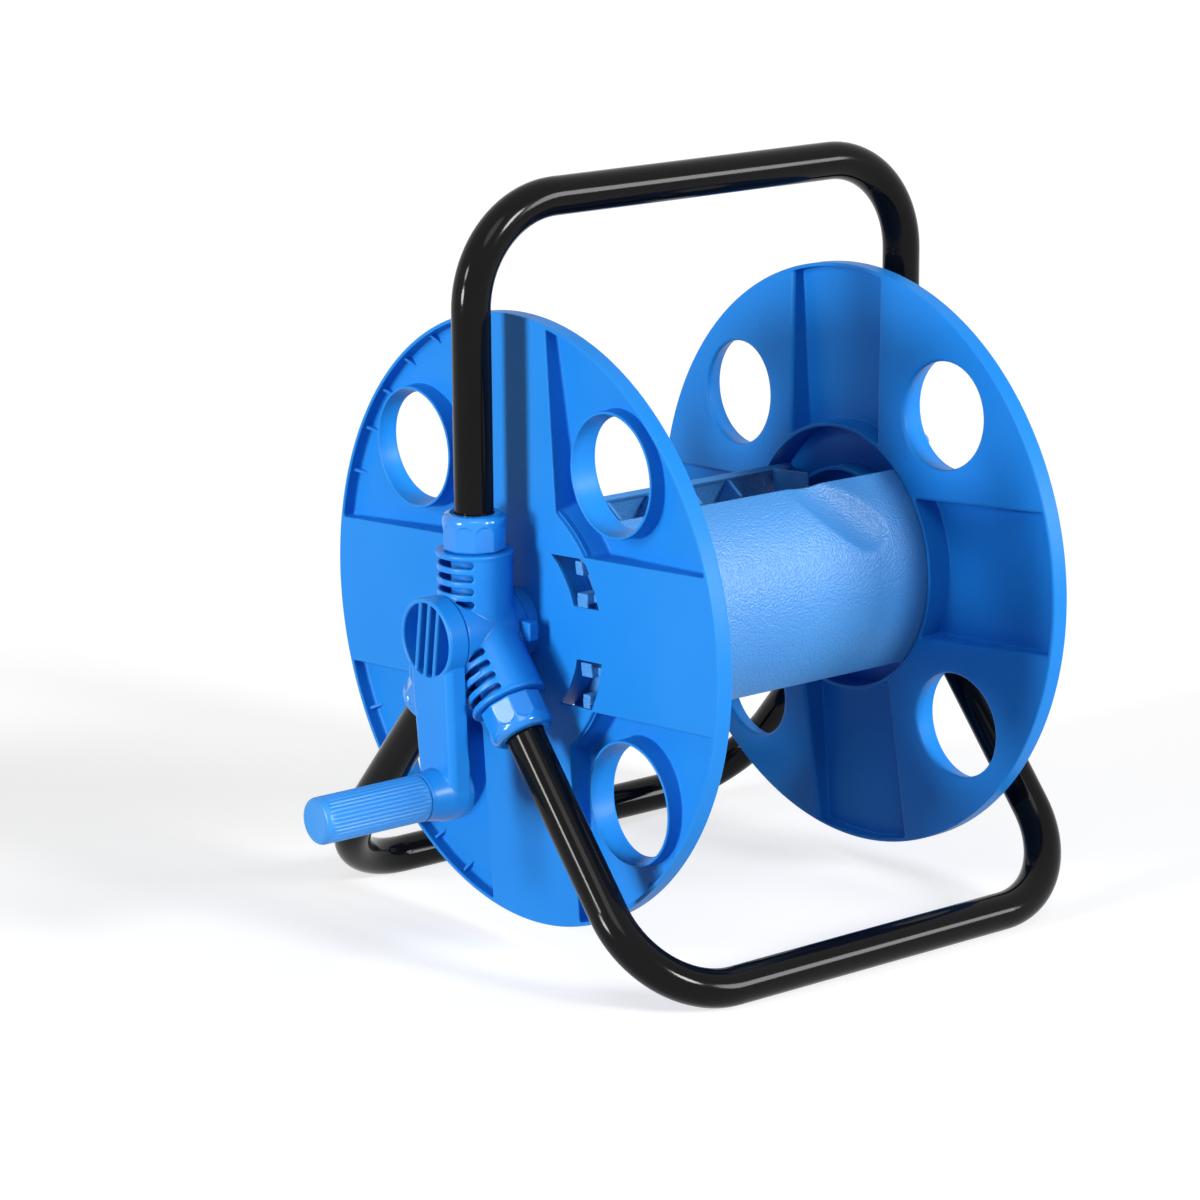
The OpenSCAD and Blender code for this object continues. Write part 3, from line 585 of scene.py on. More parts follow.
# small gussets in the pocket, at the foot of the rim
def addGussets(m, kit, sign):
    rim, floor, half = kit["rimIn"] + 0.6, kit["rimDepth"] - kit["wall"], kit["gussetHalf"]
    profile = [(rim, floor - 4.3), (rim - 0.9, floor - 4.1), (rim - 5.6, floor + 0.2), (rim, floor + 1)]
    for shift in spaced(kit["gussets"], kit["gussetPitch"]):
        spin = Matrix.Rotation(math.atan2(sign[1], sign[0]) + math.radians(shift), 4, "Z")
        m.prism(*([spin @ Vector((r, y, z)) for r, z in profile] for y in (-half, half)))


# a channel in the back, between two pockets: rolled lips, walls and floor
def addChannel(m, kit, quarterNo):
    rows = []
    for t in quarterTurn:
        drop, spread = 1 - math.cos(t), 1 - math.sin(t)
        loop, shares = channelLoop(kit, -2.2 * spread, -0.5 * spread, quarterNo)
        rows.append([(u, v, panelBack(u, v) - drop * (0.5 + 1.7 * s)) for (u, v), s in zip(loop, shares)])
    for t in quarterTurn:
        inset = 1 - math.cos(t)
        loop, _ = channelLoop(kit, inset, inset, quarterNo)
        rows.append(raised(loop, kit["wall"] + 1 - math.sin(t)))
    m.sweep(rows)
    fillLevel(m, [flat(rows[-1])], kit["wall"], polarGrid(74, 144, 6))
    return flat(rows[0])


# marks of the ejector pins in the back: a fine raised rim round a shallow dip
def addPinMark(m, kit, centre):
    rows = []
    for grow, drop in ((0.25, 0), (0.12, -0.06), (-0.05, -0.06), (-0.25, 0.1), (-1.6, 0.1)):
        loop = circleLoop(kit["pin"] + grow, kit["pinSteps"], centre)
        rows.append([(u, v, panelBack(u, v) - drop) for u, v in loop])
    m.sweep(rows)
    fillLevel(m, [flat(rows[-1])], lambda u, v: panelBack(u, v) - 0.1)
    return flat(rows[0])


# the hub's inside with its tube, and the journal that turns in the bracket
def addHub(m, kit, bore, slotBacks):
    hubIn, wall, tube, deep, steps = (kit[k] for k in ("hubIn", "wall", "tube", "tubeDepth", "tubeSteps"))
    tubeIn = tube - wall
    floorBore, deepBore = bore
    fillLevel(m, [circleLoop(hubIn, kit["hubSteps"]), circleLoop(tube, steps)] + slotBacks, wall)
    m.revolve([(tube, wall), (tube, deep - 0.5), (tube - 0.4, deep),
               (tubeIn + 0.4, deep), (tubeIn, deep - 0.5), (tubeIn, wall)], steps)
    fillLevel(m, [circleLoop(tubeIn, steps), circleLoop(floorBore, steps)], wall)
    out, step, r, end = (kit[k] for k in ("shoulder", "shoulderEnd", "journal", "journalEnd"))
    inner = -kit["boreStep"]
    m.revolve([(out, 0.0), (out, 0.5 - step), (out - 0.5, -step), (r, -step), (r, 0.5 - end), (r - 0.5, -end),
               (deepBore + 0.5, -end), (deepBore, 0.5 - end)], steps)
    m.revolve([(deepBore, 0.5 - end), (deepBore, inner), (floorBore, inner), (floorBore, wall)], steps)


def flangeMesh(name, kit, place, bore):
    m = Mesher()
    wall, rim, rimDepth, hubIn, hubDepth = (kit[k] for k in ("wall", "rim", "rimDepth", "hubIn", "hubDepth"))
    centres = [tuple(s * kit["holeAt"] * math.sqrt(0.5) for s in sign) for sign in quadrants]
    pocketTops, slotTops, slotBacks = [], [], []
    for sign, centre in zip(quadrants, centres):
        pocketTops.append(addPocket(m, kit, sign))
        addHandHole(m, kit, sign, centre)
        top, back = addSlot(m, kit, sign)
        slotTops.append(top)
        slotBacks.append(back)
        addGussets(m, kit, sign)
    face = [circleLoop(rim - 0.7, kit["rimSteps"]), circleLoop(kit["shoulder"], kit["tubeSteps"])]
    fillLevel(m, face + pocketTops + slotTops, 0.0, polarGrid(24, 144, 6))
    edge = [(rim - 0.7, 0.0), (rim - 0.3, 0.12), (rim - 0.05, 0.4), (rim, 0.8), (rim, rimDepth - 1.2)]
    edge += [(rim - 1 + math.cos(t), rimDepth - 1 + math.sin(t)) for t in quarterTurn]
    m.revolve(edge, kit["rimSteps"])

    tops = [addChannel(m, kit, quarterNo) for quarterNo in range(4)]
    tops += [circleLoop(kit["holeMouth"], kit["holeSteps"], centre) for centre in centres]
    tops += [addPinMark(m, kit, (u * sign[0], v * sign[1])) for sign in quadrants for u, v in kit["pins"]]
    hubLip = hubIn + 0.6
    ring = [circleLoop(rim - 1, kit["rimSteps"]), circleLoop(hubLip, kit["hubSteps"])]
    fillLevel(m, ring + tops, panelBack, polarGrid(74, 144, 9))
    m.revolve([(hubLip, hubDepth), (hubLip - 0.45, hubDepth - 0.15), (hubIn, hubDepth - 0.6), (hubIn, wall)],
              kit["hubSteps"])
    addHub(m, kit, bore, slotBacks)
    return m.mesh(name, place, 30)


# the drum's turn from upright, and half the distance between the flanges' outer faces
drumTurn = math.radians(4.4)
drumHalf = 111.5
drumTilt = Matrix.Translation(drumCentre) @ Matrix.Rotation(-drumTurn, 4, "X")


# (u, v, z) of a flange to the model's own frame, on the crank side (-1) or the inlet side (1)
def flangePlace(side):
    lay = Matrix(((0, 0, -side * mm, side * drumHalf * mm), (mm, 0, 0, 0), (0, mm, 0, 0), (0, 0, 0, 1)))
    return drumTilt @ lay


def addPiece(name, mesh, material, body, slotName, *nodes, even=True):
    piece = linked(name, mesh)
    mesh.materials.clear()
    mesh.materials.append(material)
    if even:
        weights = piece.modifiers.new("even", "WEIGHTED_NORMAL")
        weights.weight, weights.keep_sharp = 100, True
    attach(piece, body)
    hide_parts(*nodes)


blueMoulded = paintBlue("blue moulding", color=(0.020, 0.228, 0.69, 1), specular=0.14)
blueSatin = paintBlue("blue satin", roughness=0.33, grainDepth=0.000015, specular=0.25)
# the grip's paler, whiter blue is a painted sheen standing in for the lamps' light on it
blueGripSheen = paintBlue("blue grip with painted sheen", roughness=0.36, grainDepth=0.000015, color=(0.034, 0.25, 0.67, 1),
                     deep=(0.028, 0.235, 0.64, 1))
blueGloss = paintBlue("blue gloss", roughness=0.16, grainDepth=0.000004, specular=0.5)
# the shells' paler, whiter blue is partly a painted sheen that adds to the gloss of the lamps
blueGrainedSheen = paintBlue("blue grained with painted sheen", roughness=0.46, pebble=1000, color=(0.052, 0.252, 0.61, 1),
                        deep=(0.044, 0.232, 0.58, 1), specular=0.6)
# each flange's side, and its bores through the wall and in the journal
flangeBores = {"crank_side_flange": (-1, (2.7, 10.7)), "inlet_side_flange": (1, (10.3, 10.3))}
for nodeName, (side, bore) in flangeBores.items():
    shape = flangeMesh(nodeName + "_moulding", flangeKit, flangePlace(side), bore)
    addPiece(nodeName + "_moulding", shape, blueMoulded, "drum", "blue_plastic", nodeName)
    print(nodeName, len(shape.polygons), "faces")


def looseObject(name, mesher):
    return linked(name, mesher.mesh(name, Matrix.Identity(4), 30, 0.5))


def appliedMesh(thing, name):
    shape = bpy.data.meshes.new_from_object(thing.evaluated_get(bpy.context.evaluated_depsgraph_get()))
    shape.name = name
    bpy.data.objects.remove(thing)
    return shape


# softened solids: rough solids in millimetres are remeshed, smoothed and thinned out
def softMesh(name, thing, place, kit, sharp=0):
    grid = thing.modifiers.new("grid", "REMESH")
    grid.mode, grid.voxel_size = "VOXEL", kit["voxel"]
    soft = thing.modifiers.new("soft", "SMOOTH")
    soft.factor, soft.iterations = 0.5, kit["rounds"]
    lean = thing.modifiers.new("lean", "DECIMATE")
    lean.ratio = kit["keep"]
    mesh = appliedMesh(thing, name)
    mesh.transform(place)
    mesh.shade_smooth()
    if sharp:
        mesh.set_sharp_from_angle(angle=math.radians(sharp))
    return mesh


drumPlace = drumTilt @ Matrix.Scale(mm, 4)


# the crank: x along the axle, the boss round the origin and the grip's axis straight below it
# axis is the tiny radius at which the profile of a round solid starts and ends
crankKit = {"back": 156.0, "front": 167.0, "boss": 20.3, "window": 18.0, "windowDepth": 9.2, "throw": 75.5,
            "topHalf": 16.3, "half": 13.6, "round": 4.2, "collarEnd": 176.8, "collar": 11.7, "backBoss": 13.0,
            "backBossDepth": 3.5, "bars": 3, "barPitch": 7.0, "bar": 2.5, "barLean": 12.0, "spindle": 4.6,
            "spindleHead": 7.1, "pocketWall": 2.6, "pocketDepth": 8.0, "peg": 15.0, "pegEnd": 116.6,
            "screw": 2.2, "axis": 0.01, "levels": 12, "voxel": 0.36, "rounds": 3, "keep": 0.4}


# the round boss, with the window as a shallow dish in its front
def addBoss(m, kit):
    front, back, w, b, axis = -kit["front"], -kit["back"], kit["window"], kit["boss"], kit["axis"]
    deep = front + kit["windowDepth"]
    m.latheSolid([(axis, deep), (w - 0.6, deep), (w, deep - 0.6), (w, front + 0.9), (w + 0.25, front + 0.3),
                  (w + 0.8, front), (b - 0.9, front), (b - 0.25, front + 0.35), (b, front + 1.2),
                  (b, back - 0.6), (b - 0.6, back), (axis, back)])


# leaning bars across the window
def addBars(m, kit):
    front, t = -kit["front"], kit["bar"] / 2
    lean = Matrix.Rotation(math.radians(kit["barLean"]), 4, "X")
    section = [(front + kit["windowDepth"] + 1, -t), (front + 1.3, -t), (front + 0.7, -t + 0.25),
               (front + 0.35, -t + 0.7)]
    section += [(x, -y) for x, y in reversed(section)]
    for shift in spaced(kit["bars"], kit["barPitch"]):
        reach = math.sqrt((kit["window"] + 0.6) ** 2 - (abs(shift) + t) ** 2)
        ends = [[tuple(lean @ Vector((x, y + shift, z))) for x, y in section] for z in (-reach, reach)]
        m.prism(*ends)


def armOutline(half, kit):
    r, front, back = kit["round"], -kit["front"], -kit["back"]
    turns = [math.pi / 2 * i / 8 for i in range(9)]
    outline = [(front + r - r * math.cos(t), half - r + r * math.sin(t)) for t in turns]
    outline += [(back - 0.8 + 0.8 * math.sin(t), half - 0.8 + 0.8 * math.cos(t)) for t in turns[::2]]
    return outline + [(x, -y) for x, y in reversed(outline)]


# the arm down to the grip, its necked collar, the boss behind the collar and the square peg
def addArm(m, kit):
    front, back, throw, half, axis = -kit["front"], -kit["back"], kit["throw"], kit["half"], kit["axis"]
    rows = []
    for i in range(kit["levels"] + 1):
        s = throw * i / kit["levels"]
        wide = kit["topHalf"] + (half - kit["topHalf"]) * s / throw
        rows.append([(x, y, -s) for x, y in armOutline(wide, kit)])
    m.sweepSolid(rows)
    e, collar, tip = half + 0.2, kit["collar"], -kit["collarEnd"]
    m.latheSolid([(axis, back), (e - 0.8, back), (e, back - 0.8), (e, front + 5.2), (e - 0.1, front + 3.2),
                  (e - 0.45, front + 1.0), (e - 0.95, front - 1.2), (e - 1.4, front - 3.4),
                  (e - 1.75, front - 5.6), (collar + 0.02, front - 7.8), (collar, tip + 0.6),
                  (collar - 0.4, tip + 0.1), (collar - 0.8, tip), (axis, tip)], (0, -throw))
    b, end, p = kit["backBoss"], back + kit["backBossDepth"], kit["peg"] / 2
    m.latheSolid([(axis, back - 1), (b, back - 1), (b, end - 0.7), (b - 0.7, end), (axis, end)], (0, -throw))
    m.box((back - 1, -p, -p), (-kit["pegEnd"], p, p))


# what is cut from the arm: the window, the pocket in its back, the spindle's bore and the screw's bore
def addHollow(m, kit):
    front, back, throw, w, axis = -kit["front"], -kit["back"], kit["throw"], kit["window"], kit["axis"]
    deep, y = front + kit["windowDepth"], kit["half"] - kit["pocketWall"]
    spindle, head, screw = kit["spindle"], kit["spindleHead"], kit["screw"]
    tip, end, screwEnd = -kit["collarEnd"] - 2, back + kit["backBossDepth"] + 2, -kit["pegEnd"] + 2
    m.latheSolid([(axis, front - 2), (w, front - 2), (w, deep), (axis, deep)])
    m.box((back - kit["pocketDepth"], -y, -throw + kit["collar"] + 2.2), (back + 2, y, -kit["boss"] - 0.4))
    m.latheSolid([(axis, tip), (spindle, tip), (spindle, back - 2.6), (head, back - 2.6), (head, end),
                  (axis, end)], (0, -throw))
    m.latheSolid([(axis, back - 4), (screw, back - 4), (screw, screwEnd), (axis, screwEnd)])


def crankMesh(name, kit, place):
    solids, arm, hollow = Mesher(), Mesher(), Mesher()
    addBoss(solids, kit)
    addBars(solids, kit)
    addArm(arm, kit)
    addHollow(hollow, kit)
    bar, cutter = looseObject("crank_bar", arm), looseObject("crank_hollow", hollow)
    cut = bar.modifiers.new("cut", "BOOLEAN")
    cut.operation, cut.object, cut.solver, cut.use_self = "DIFFERENCE", cutter, "EXACT", True
    cutBar = appliedMesh(bar, "crank_cut")
    bpy.data.objects.remove(cutter)
    solids.add([v.co for v in cutBar.vertices], [tuple(f.vertices) for f in cutBar.polygons])
    print("crank bar cut to", len(cutBar.polygons), "faces")
    return softMesh(name, looseObject("crank_solids", solids), place, kit, 50)


crankShape = crankMesh("crank_arm_moulding", crankKit, drumPlace)
addPiece("crank_arm_moulding", crankShape, blueSatin, "drum", "blue_plastic", "crank_arm", even=False)
print("crank arm", len(crankShape.polygons), "faces")


# the fluted grip: x from its inner end to its outer end
gripKit = {"radius": 11.5, "start": 177.1, "end": 237.1, "flutes": 32, "fluteSteps": 10, "fluteDepth": 0.5,
           "fluteIn": 1.6, "fluteOut": 3.6, "fadeIn": 1.2, "fadeOut": 2.0, "fluteCurve": 1.1, "chamfer": 0.3,
           "inner": 0.9, "round": 2.8, "dish": 0.5, "bore": 4.6, "boreEnd": 227.0, "axis": 0.01}


# (distance from the inner end, radius) places: small chamfer, long side, rounded end and shallow dish
def gripProfile(kit, length):
    radius, edge, chamfer, inner = kit["radius"], kit["round"], kit["chamfer"], kit["inner"]
    flank = radius - edge
    profile = [(chamfer * i, radius - chamfer * (1 - math.sin(math.pi / 2 * i / 3))) for i in range(4)]
    profile += [(inner + (length - edge - inner) * i / 36, radius) for i in range(1, 37)]
    turns = [math.pi / 2 * i / 8 for i in range(1, 9)]
    profile += [(length - edge + edge * math.sin(t), flank + edge * math.cos(t)) for t in turns]
    return profile + [(length - 0.05, flank - 0.8), (length - 0.3, flank - 2.2), (length - 0.45, flank - 4.5)]


def gripMesh(name, kit, place):
    m = Mesher()
    around, length = kit["flutes"] * kit["fluteSteps"], kit["end"] - kit["start"]
    rows = []
    for s, r in gripProfile(kit, length):
        start = (s - kit["fluteIn"]) / kit["fadeIn"]
        end = (length - kit["fluteOut"] - s) / kit["fadeOut"] + 0.5
        ramp = eased(clamped(start) * clamped(end))
        row = []
        for i in range(around):
            t = 2 * math.pi * i / around
            wave = abs(math.cos(t * kit["flutes"] / 2))
            dip = kit["fluteDepth"] * ramp * (1 - wave) ** kit["fluteCurve"]
            row.append((-kit["start"] - s, (r - dip) * math.sin(t), (r - dip) * math.cos(t)))
        rows.append(row)
    m.sweep(rows)
    middle = len(m.points)
    first = middle - around
    m.points.append((-kit["end"] + kit["dish"], 0, 0))
    m.faces += [(first + i, first + (i + 1) % around, middle) for i in range(around)]
    start, bore, boreEnd, chamfer = -kit["start"], kit["bore"], -kit["boreEnd"], kit["chamfer"]
    m.lathe([(kit["radius"] - chamfer, start), (bore + chamfer, start), (bore, start - chamfer),
             (bore, boreEnd), (kit["axis"], boreEnd)], (0, 0), around)
    return m.mesh(name, place, 40)


gripPlace = drumPlace @ Matrix.Translation((0, 0, -crankKit["throw"]))
gripShape = gripMesh("crank_grip_moulding", gripKit, gripPlace)
addPiece("crank_grip_moulding", gripShape, blueGripSheen, "grip", "blue_plastic", "crank_grip")
print("grip", len(gripShape.polygons), "faces")


# the six tube nuts: ten shallow flats that end in arches below a rounded shoulder
nutKit = {"radius": 15.6, "length": 17.4, "flats": 10, "flat": 14.84, "flatSteps": 26, "arch": 4.6,
          "archAt": 8.2, "archSoft": 0.3, "shoulder": 3.4, "bore": 13.1, "boreEnd": 14.4, "mouth": 9.8,
          "base": 41.1}


def nutRadius(turn, z, kit):
    top = kit["length"] - kit["shoulder"]
    r = kit["radius"]
    if z > top:
        share = min((z - top) / kit["shoulder"], 1)
        r -= kit["shoulder"] * (1 - math.sqrt(1 - share * share))
    pitch = 2 * math.pi / kit["flats"]
    local = (turn + pitch / 2) % pitch - pitch / 2
    flatRadius = kit["flat"] / math.cos(local)
    across = kit["radius"] * math.sin(local)
    beyond = math.hypot(across, max(z - kit["archAt"], 0)) - kit["arch"]
    return r - max(kit["radius"] - flatRadius, 0) * eased(0.5 - beyond / kit["archSoft"])


def nutMesh(name, kit):
    m = Mesher()
    around = kit["flats"] * kit["flatSteps"]
    turns = [2 * math.pi * i / around for i in range(around)]
    radius, shoulder, length = kit["radius"], kit["shoulder"], kit["length"]
    bore, boreEnd, mouth = kit["bore"], kit["boreEnd"], kit["mouth"]
    top = length - shoulder
    levels = [(0.0, 0.5), (0.15, 0.2), (0.45, 0.03), (1.0, 0)]  # height, and how far the foot is drawn in
    levels += [(1.0 + (top - 1.0) * i / 44, 0) for i in range(1, 45)]
    levels += [(top + shoulder * math.sin(math.pi / 2 * i / 14), 0) for i in range(1, 14)]
    rows = []
    for z, drawn in levels:
        radii = [nutRadius(t, z, kit) - drawn for t in turns]
        rows.append([(r * math.cos(t), r * math.sin(t), z) for r, t in zip(radii, turns)])
    for r, z in ((radius - shoulder, length), (mouth + 0.4, length), (mouth, length - 0.4), (mouth, boreEnd),
                 (bore, boreEnd), (bore, 0.4), (bore + 0.4, 0)):
        rows.append(raised(circleLoop(r, around), z))
    m.sweep(rows + rows[:1])
    return m.mesh(name, Matrix.Scale(mm, 4), 60)


# a side frame's distance from the drum's middle, and the foot tubes' places below the axle, which give the
# angles of its arms
sideKit = {"middle": 137.0, "footReach": 134.0, "footDrop": 155.5}
legAngle = math.atan2(sideKit["footReach"], sideKit["footDrop"])
nutArms = {"handle": 0.0, "front": math.pi - legAngle, "rear": math.pi + legAngle}


def sidePlace(side):
    return Matrix.Translation(drumCentre) @ Matrix.Translation((side * sideKit["middle"] * mm, 0, 0))


for side, sideName in ((-1, "crank"), (1, "inlet")):
    for arm, angle in nutArms.items():
        nodeName = sideName + "_" + arm + "_nut"
        shape = nutMesh(nodeName + "_moulding", nutKit)
        lift = Matrix.Translation((0, 0, nutKit["base"] * mm))
        shape.transform(sidePlace(side) @ Matrix.Rotation(angle, 4, "X") @ lift)
        addPiece(nodeName + "_moulding", shape, blueGloss, "frame", "blue_plastic", nodeName)
print("six nuts", len(shape.polygons), "faces each")


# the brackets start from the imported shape: a lip is added at each socket, and every edge is softened
bracketKit = {"socket": 18.4, "lip": 0.45, "lipFrom": 38.4, "lipEdge": 0.5, "lipWall": 1.2, "end": 40.5,
              "lipSteps": 96, "voxel": 0.5, "rounds": 4, "keep": 0.35}


def bracketMesh(name, nodeName, side, kit):
    source = frame["nodes"][nodeName]
    place = sidePlace(side) @ Matrix.Scale(mm, 4)
    inverse = place.inverted() @ source.matrix_world
    solids = Mesher()
    faces = [tuple(p.vertices) for p in source.data.polygons]
    solids.add([inverse @ v.co for v in source.data.vertices], faces)
    r, lip, low, high, edge = (kit[k] for k in ("socket", "lip", "lipFrom", "end", "lipEdge"))
    section = [(r - kit["lipWall"], low), (r, low), (r + lip, low + edge), (r + lip, high - edge), (r, high),
               (r - kit["lipWall"], high)]
    rings = [raised(circleLoop(a, kit["lipSteps"]), b) for a, b in section + section[:1]]
    for angle in nutArms.values():
        spin = Matrix.Rotation(angle, 4, "X")
        solids.sweep([[tuple(spin @ Vector(p)) for p in ring] for ring in rings])
    return softMesh(name, looseObject(name + "_solids", solids), place, kit)


for side, nodeName in ((-1, "crank_side_bracket"), (1, "inlet_side_bracket")):
    shape = bracketMesh(nodeName + "_moulding", nodeName, side, bracketKit)
    addPiece(nodeName + "_moulding", shape, blueSatin, "frame", "blue_plastic", nodeName, even=False)
    print(nodeName, len(shape.polygons), "faces")


# the core shells: turn is measured from the shell's middle line, and the channel is carved by a round rod
shellKit = {"radius": 67.0, "wall": 2.5, "end": 109.2, "ribs": 6, "ribPitch": 26.6, "rib": 1.0, "ribIn": 51.5,
            "ribSteps": 48, "edge": 0.8, "rail": 1.0, "railWide": 3.2, "sink": 0.07, "sinkHalf": 0.9,
            "acrossStep": 1.4, "alongStep": 1.3, "channel": 22.0, "channelAt": 22.0, "channelX": 62.2,
            "channelDrop": 3.56, "channelLean": 39.0, "channelDip": 6.5, "channelFrom": -30,
            "steepest": 0.35, "soft": 0.45}


# where the rod starts, and its direction
def channelRun(kit):
    lay = Matrix.Rotation(math.radians(-kit["channelAt"]), 4, "X")
    start = lay @ Vector((kit["channelX"], -kit["radius"] - kit["channel"] + kit["channelDrop"], 0))
    lean = Matrix.Rotation(math.radians(-kit["channelLean"]), 4, "Y")
    dip = Matrix.Rotation(math.radians(-kit["channelDip"]), 4, "X")
    return start, (lay @ (lean @ dip) @ Vector((0, 0, 1))).normalized()


# the shell's radius at a place, less the channel's depth there, which four steps find, with a soft edge
def shellRadius(x, turn, run, kit):
    if not run or turn <= 0 or x <= kit["channelFrom"]:
        return kit["radius"]
    start, along = run
    outward = Vector((0, -math.cos(turn), math.sin(turn)))
    depth = 0
    for _ in range(4):
        p = outward * (kit["radius"] - max(depth, 0)) + Vector((x, 0, 0)) - start
        gap = p - along * max(p.dot(along), 0)
        slope = max(-gap.normalized().dot(outward), kit["steepest"])
        depth = max(depth, 0) + (kit["channel"] - gap.length) / slope
        if depth < 0:
            break
    return kit["radius"] - 0.5 * (depth + math.sqrt(depth * depth + kit["soft"] ** 2))


# even steps along a length, closer together at both rounded edges
def edgeSteps(length, step, edge):
    near = [0, edge * 0.1, edge * 0.35, edge * 0.7, edge]
    count = int((length - 2 * edge) / step)
    middle = [edge + (length - 2 * edge) * i / count for i in range(1, count)]
    return near + middle + [length - e for e in reversed(near)]


def edgeDrop(distance, edge):
    e = min(distance, edge)
    return edge - math.sqrt(max(edge * edge - (edge - e) ** 2, 0))


def addSkin(m, kit, ribs, half, run, railed):
    radius, end, edge = kit["radius"], kit["end"], kit["edge"]
    across = [s / radius - half for s in edgeSteps(2 * half * radius, kit["acrossStep"], edge)]
    rows = []
    for x in (s - end for s in edgeSteps(2 * end, kit["alongStep"], edge)):
        endDrop = edgeDrop(end - abs(x), edge)
        sink = kit["sink"] * sum(math.exp(-((x - rib) / kit["sinkHalf"]) ** 2) for rib in ribs)
        outer, inner = [], []
        for turn in across:
            border = (half - abs(turn)) * radius
            r = shellRadius(x, turn, run, kit)
            skin = r - max(endDrop, edgeDrop(border, edge)) - sink
            back = r - kit["wall"] - (kit["rail"] if railed and border < kit["railWide"] else 0)
            outer.append((x, -skin * math.cos(turn), skin * math.sin(turn)))
            inner.append((x, -back * math.cos(turn), back * math.sin(turn)))
        rows.append(outer + inner[::-1])
    m.sweep(rows)
    count = len(rows[0])
    for first in (0, (len(rows) - 1) * count):
        last = first + count - 1
        m.faces += [(first + i, first + i + 1, last - i - 1, last - i) for i in range(count // 2 - 1)]


# ribs round the inside, whose tops follow the channel
def addRibs(m, kit, ribs, half, run):
    margin, steps = math.radians(2), kit["ribSteps"]
    turns = [-half + margin + (2 * half - 2 * margin) * i / steps for i in range(steps + 1)]
    t, deep = kit["rib"], kit["ribIn"]
    for x in ribs:
        rows = []
        for turn in turns:
            top = min(shellRadius(x + a, turn, run, kit) for a in (-t, 0, t)) - (kit["wall"] - 0.5)
            section = [(-t, top), (-t, deep + 0.5), (-t + 0.4, deep)]
            section += [(-a, r) for a, r in reversed(section)]
            rows.append([(x + a, -r * math.cos(turn), r * math.sin(turn)) for a, r in section])
        m.sweepSolid(rows)


# two hooks behind each clip opening and a plate behind them, in lengths from the drum's middle and its axle
# each of the places is the height of a hook and the height of its lip
hookKit = {"from": 101.2, "root": 7.7, "rootStart": 0.4, "rootBury": 1.5, "reach": 11.8, "lipFrom": 10.6,
           "lipInset": 0.25, "out": 58.0, "in": 50.0, "half": 2.5, "clear": 0.5,
           "places": [(17.8, 15.8), (31.4, 33.4)], "soft": 0.6, "plateFrom": 95.8, "plate": 1.8,
           "plateIn": 22.5, "plateOut": 49.9, "plateLow": 14.0, "plateHigh": 41.4}


def addHooks(m, shell):
    kit = hookKit
    start, reach, half, inset = kit["from"], kit["reach"], kit["half"], kit["lipInset"]
    inner, opening = shell["radius"] - shell["wall"] + 0.5, flangeKit["slotOut"] - kit["clear"]
    boxes = [((kit["plateFrom"], kit["plateFrom"] + kit["plate"]), (-kit["plateOut"], -kit["plateIn"]),
              (kit["plateLow"], kit["plateHigh"]))]
    for middle, lip in kit["places"]:
        deep = math.sqrt(inner ** 2 - (middle + kit["rootBury"]) ** 2)
        out = min(kit["out"], math.sqrt(opening ** 2 - (middle + half) ** 2))
        for x0, x1, y0, y1, z, wide in (
                (kit["rootStart"], kit["root"], -deep, -kit["in"] - 1, middle, half - 0.4),
                (0, reach - 0.3, -out, -kit["in"], middle, half),
                (kit["lipFrom"], reach, inset - out, -inset - kit["in"], lip, half - 0.2)):
            boxes.append(((start + x0, start + x1), (y0, y1), (z - wide, z + wide)))
    for sx in (-1, 1):
        for sz in (-1, 1):
            for x, y, z in boxes:
                xs, zs = sorted(sx * a for a in x), sorted(sz * a for a in z)
                m.softBox((xs[0], y[0], zs[0]), (xs[1], y[1], zs[1]), kit["soft"])


def shellMesh(name, kit, place, arc, carved):
    m = Mesher()
    half = math.radians(arc) / 2
    run = channelRun(kit) if carved else None
    ribs = spaced(kit["ribs"], kit["ribPitch"])
    addSkin(m, kit, ribs, half, run, not carved)
    addRibs(m, kit, ribs, half, run)
    addHooks(m, kit)
    return m.mesh(name, place, 38)


coreShells = {"front_core_shell": (96, 0, True), "rear_core_shell": (80, math.pi, False)}
for nodeName, (arc, turn, carved) in coreShells.items():
    place = drumPlace @ Matrix.Rotation(turn, 4, "X")
    shape = shellMesh(nodeName + "_moulding", shellKit, place, arc, carved)
    addPiece(nodeName + "_moulding", shape, blueGrainedSheen, "drum", "blue_plastic", nodeName)
    print(nodeName, len(shape.polygons), "faces")


# white sweep that keeps the reel's shadow, lit by five soft lamps and a pale sky
stageKit = {"size": 14.0, "below": 0.0005, "color": (0.50, 0.50, 0.50, 1), "roughness": 0.9, "glow": 0.65,
            "sky": 0.08}
white = (1, 1, 1, 1)


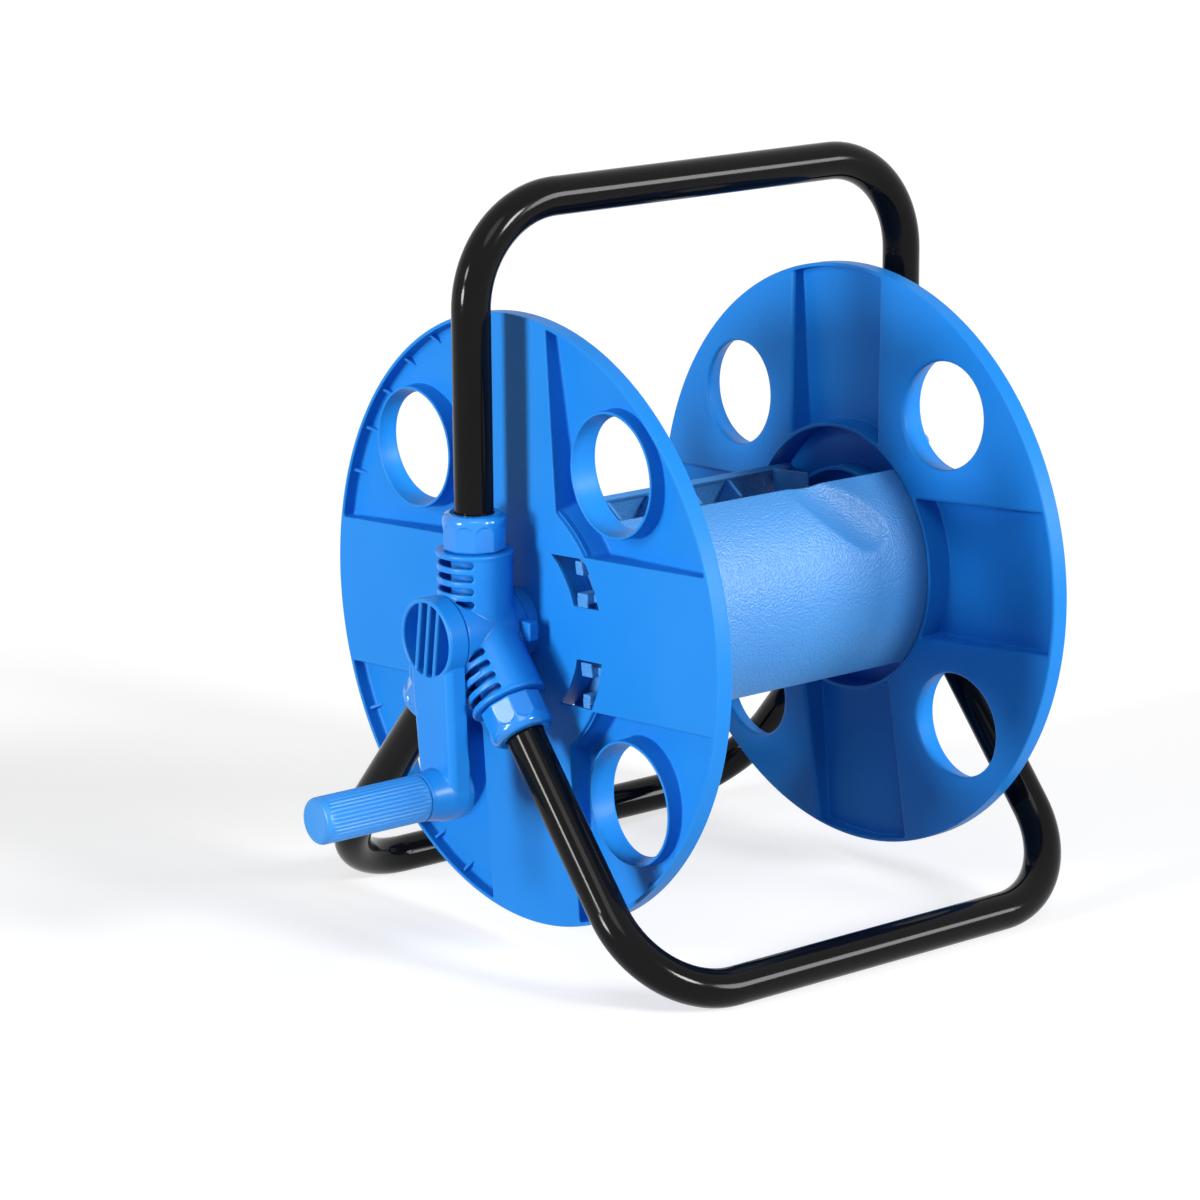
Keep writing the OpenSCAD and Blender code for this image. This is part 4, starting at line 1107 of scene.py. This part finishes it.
# 1 for what the camera sees, straight, in gloss or through a clear thing
def seenRays(tree):
    straight, gloss, clear = (tree.node("ShaderNodeLightPath", {}, {}, ray)
                              for ray in ("Is Camera Ray", "Is Glossy Ray", "Is Transmission Ray"))
    return (straight + gloss + clear).clip()


def addStage(kit):
    p = Paint("sweep")
    half = kit["size"] / 2
    mesh = bpy.data.meshes.new("sweep")
    corners = [(-half, -half, 0), (half, -half, 0), (half, half, 0), (-half, half, 0)]
    mesh.from_pydata(corners, [], [(0, 1, 2, 3)])
    mesh.materials.append(p.done(color=kit["color"], roughness=kit["roughness"], specular=0.0))
    floor = linked("sweep", mesh)
    floor.location.z = -kit["below"]
    glow = p.node("ShaderNodeEmission", {}, {"Color": white, "Strength": seenRays(p) * kit["glow"]})
    both = p.node("ShaderNodeAddShader", {}, {0: Wire(p.tree, p.shader.outputs[0]), 1: glow})
    feed(p.tree, p.tree.nodes["Material Output"].inputs["Surface"], both)

    world = bpy.data.worlds.new("sky")
    bpy.context.scene.world = world
    world.use_nodes = True
    sky = NodeTree(world.node_tree)
    background = sky.tree.nodes["Background"]
    feed(sky.tree, background.inputs["Strength"], seenRays(sky) * (1 - kit["sky"]) + kit["sky"])
    feed(sky.tree, background.inputs["Color"], white)


lampKit = [{"name": "keyLamp", "azimuth": -91, "elevation": 4, "strength": 2.55, "spread": 13},
           {"name": "stripLamp", "azimuth": -92, "elevation": 21, "strength": 1.0, "spread": 10},
           {"name": "sideLamp", "azimuth": 13, "elevation": 22, "strength": 2.35, "spread": 12},
           {"name": "rimLamp", "azimuth": 35, "elevation": 14, "strength": 1.95, "spread": 20},
           {"name": "frontLamp", "azimuth": -35, "elevation": 48, "strength": 0.5, "spread": 24}]


def addLamps(kits, away=3):
    for kit in kits:
        lamp = bpy.data.lights.new(kit["name"], "SUN")
        lamp.energy = kit["strength"]
        lamp.angle = math.radians(kit["spread"])
        holder = linked(kit["name"], lamp)
        source = towards(kit["azimuth"], kit["elevation"])
        holder.location = source * away
        holder.rotation_euler = source.to_track_quat("Z", "Y").to_euler()


addStage(stageKit)
addLamps(lampKit)
print("stage and lamps")
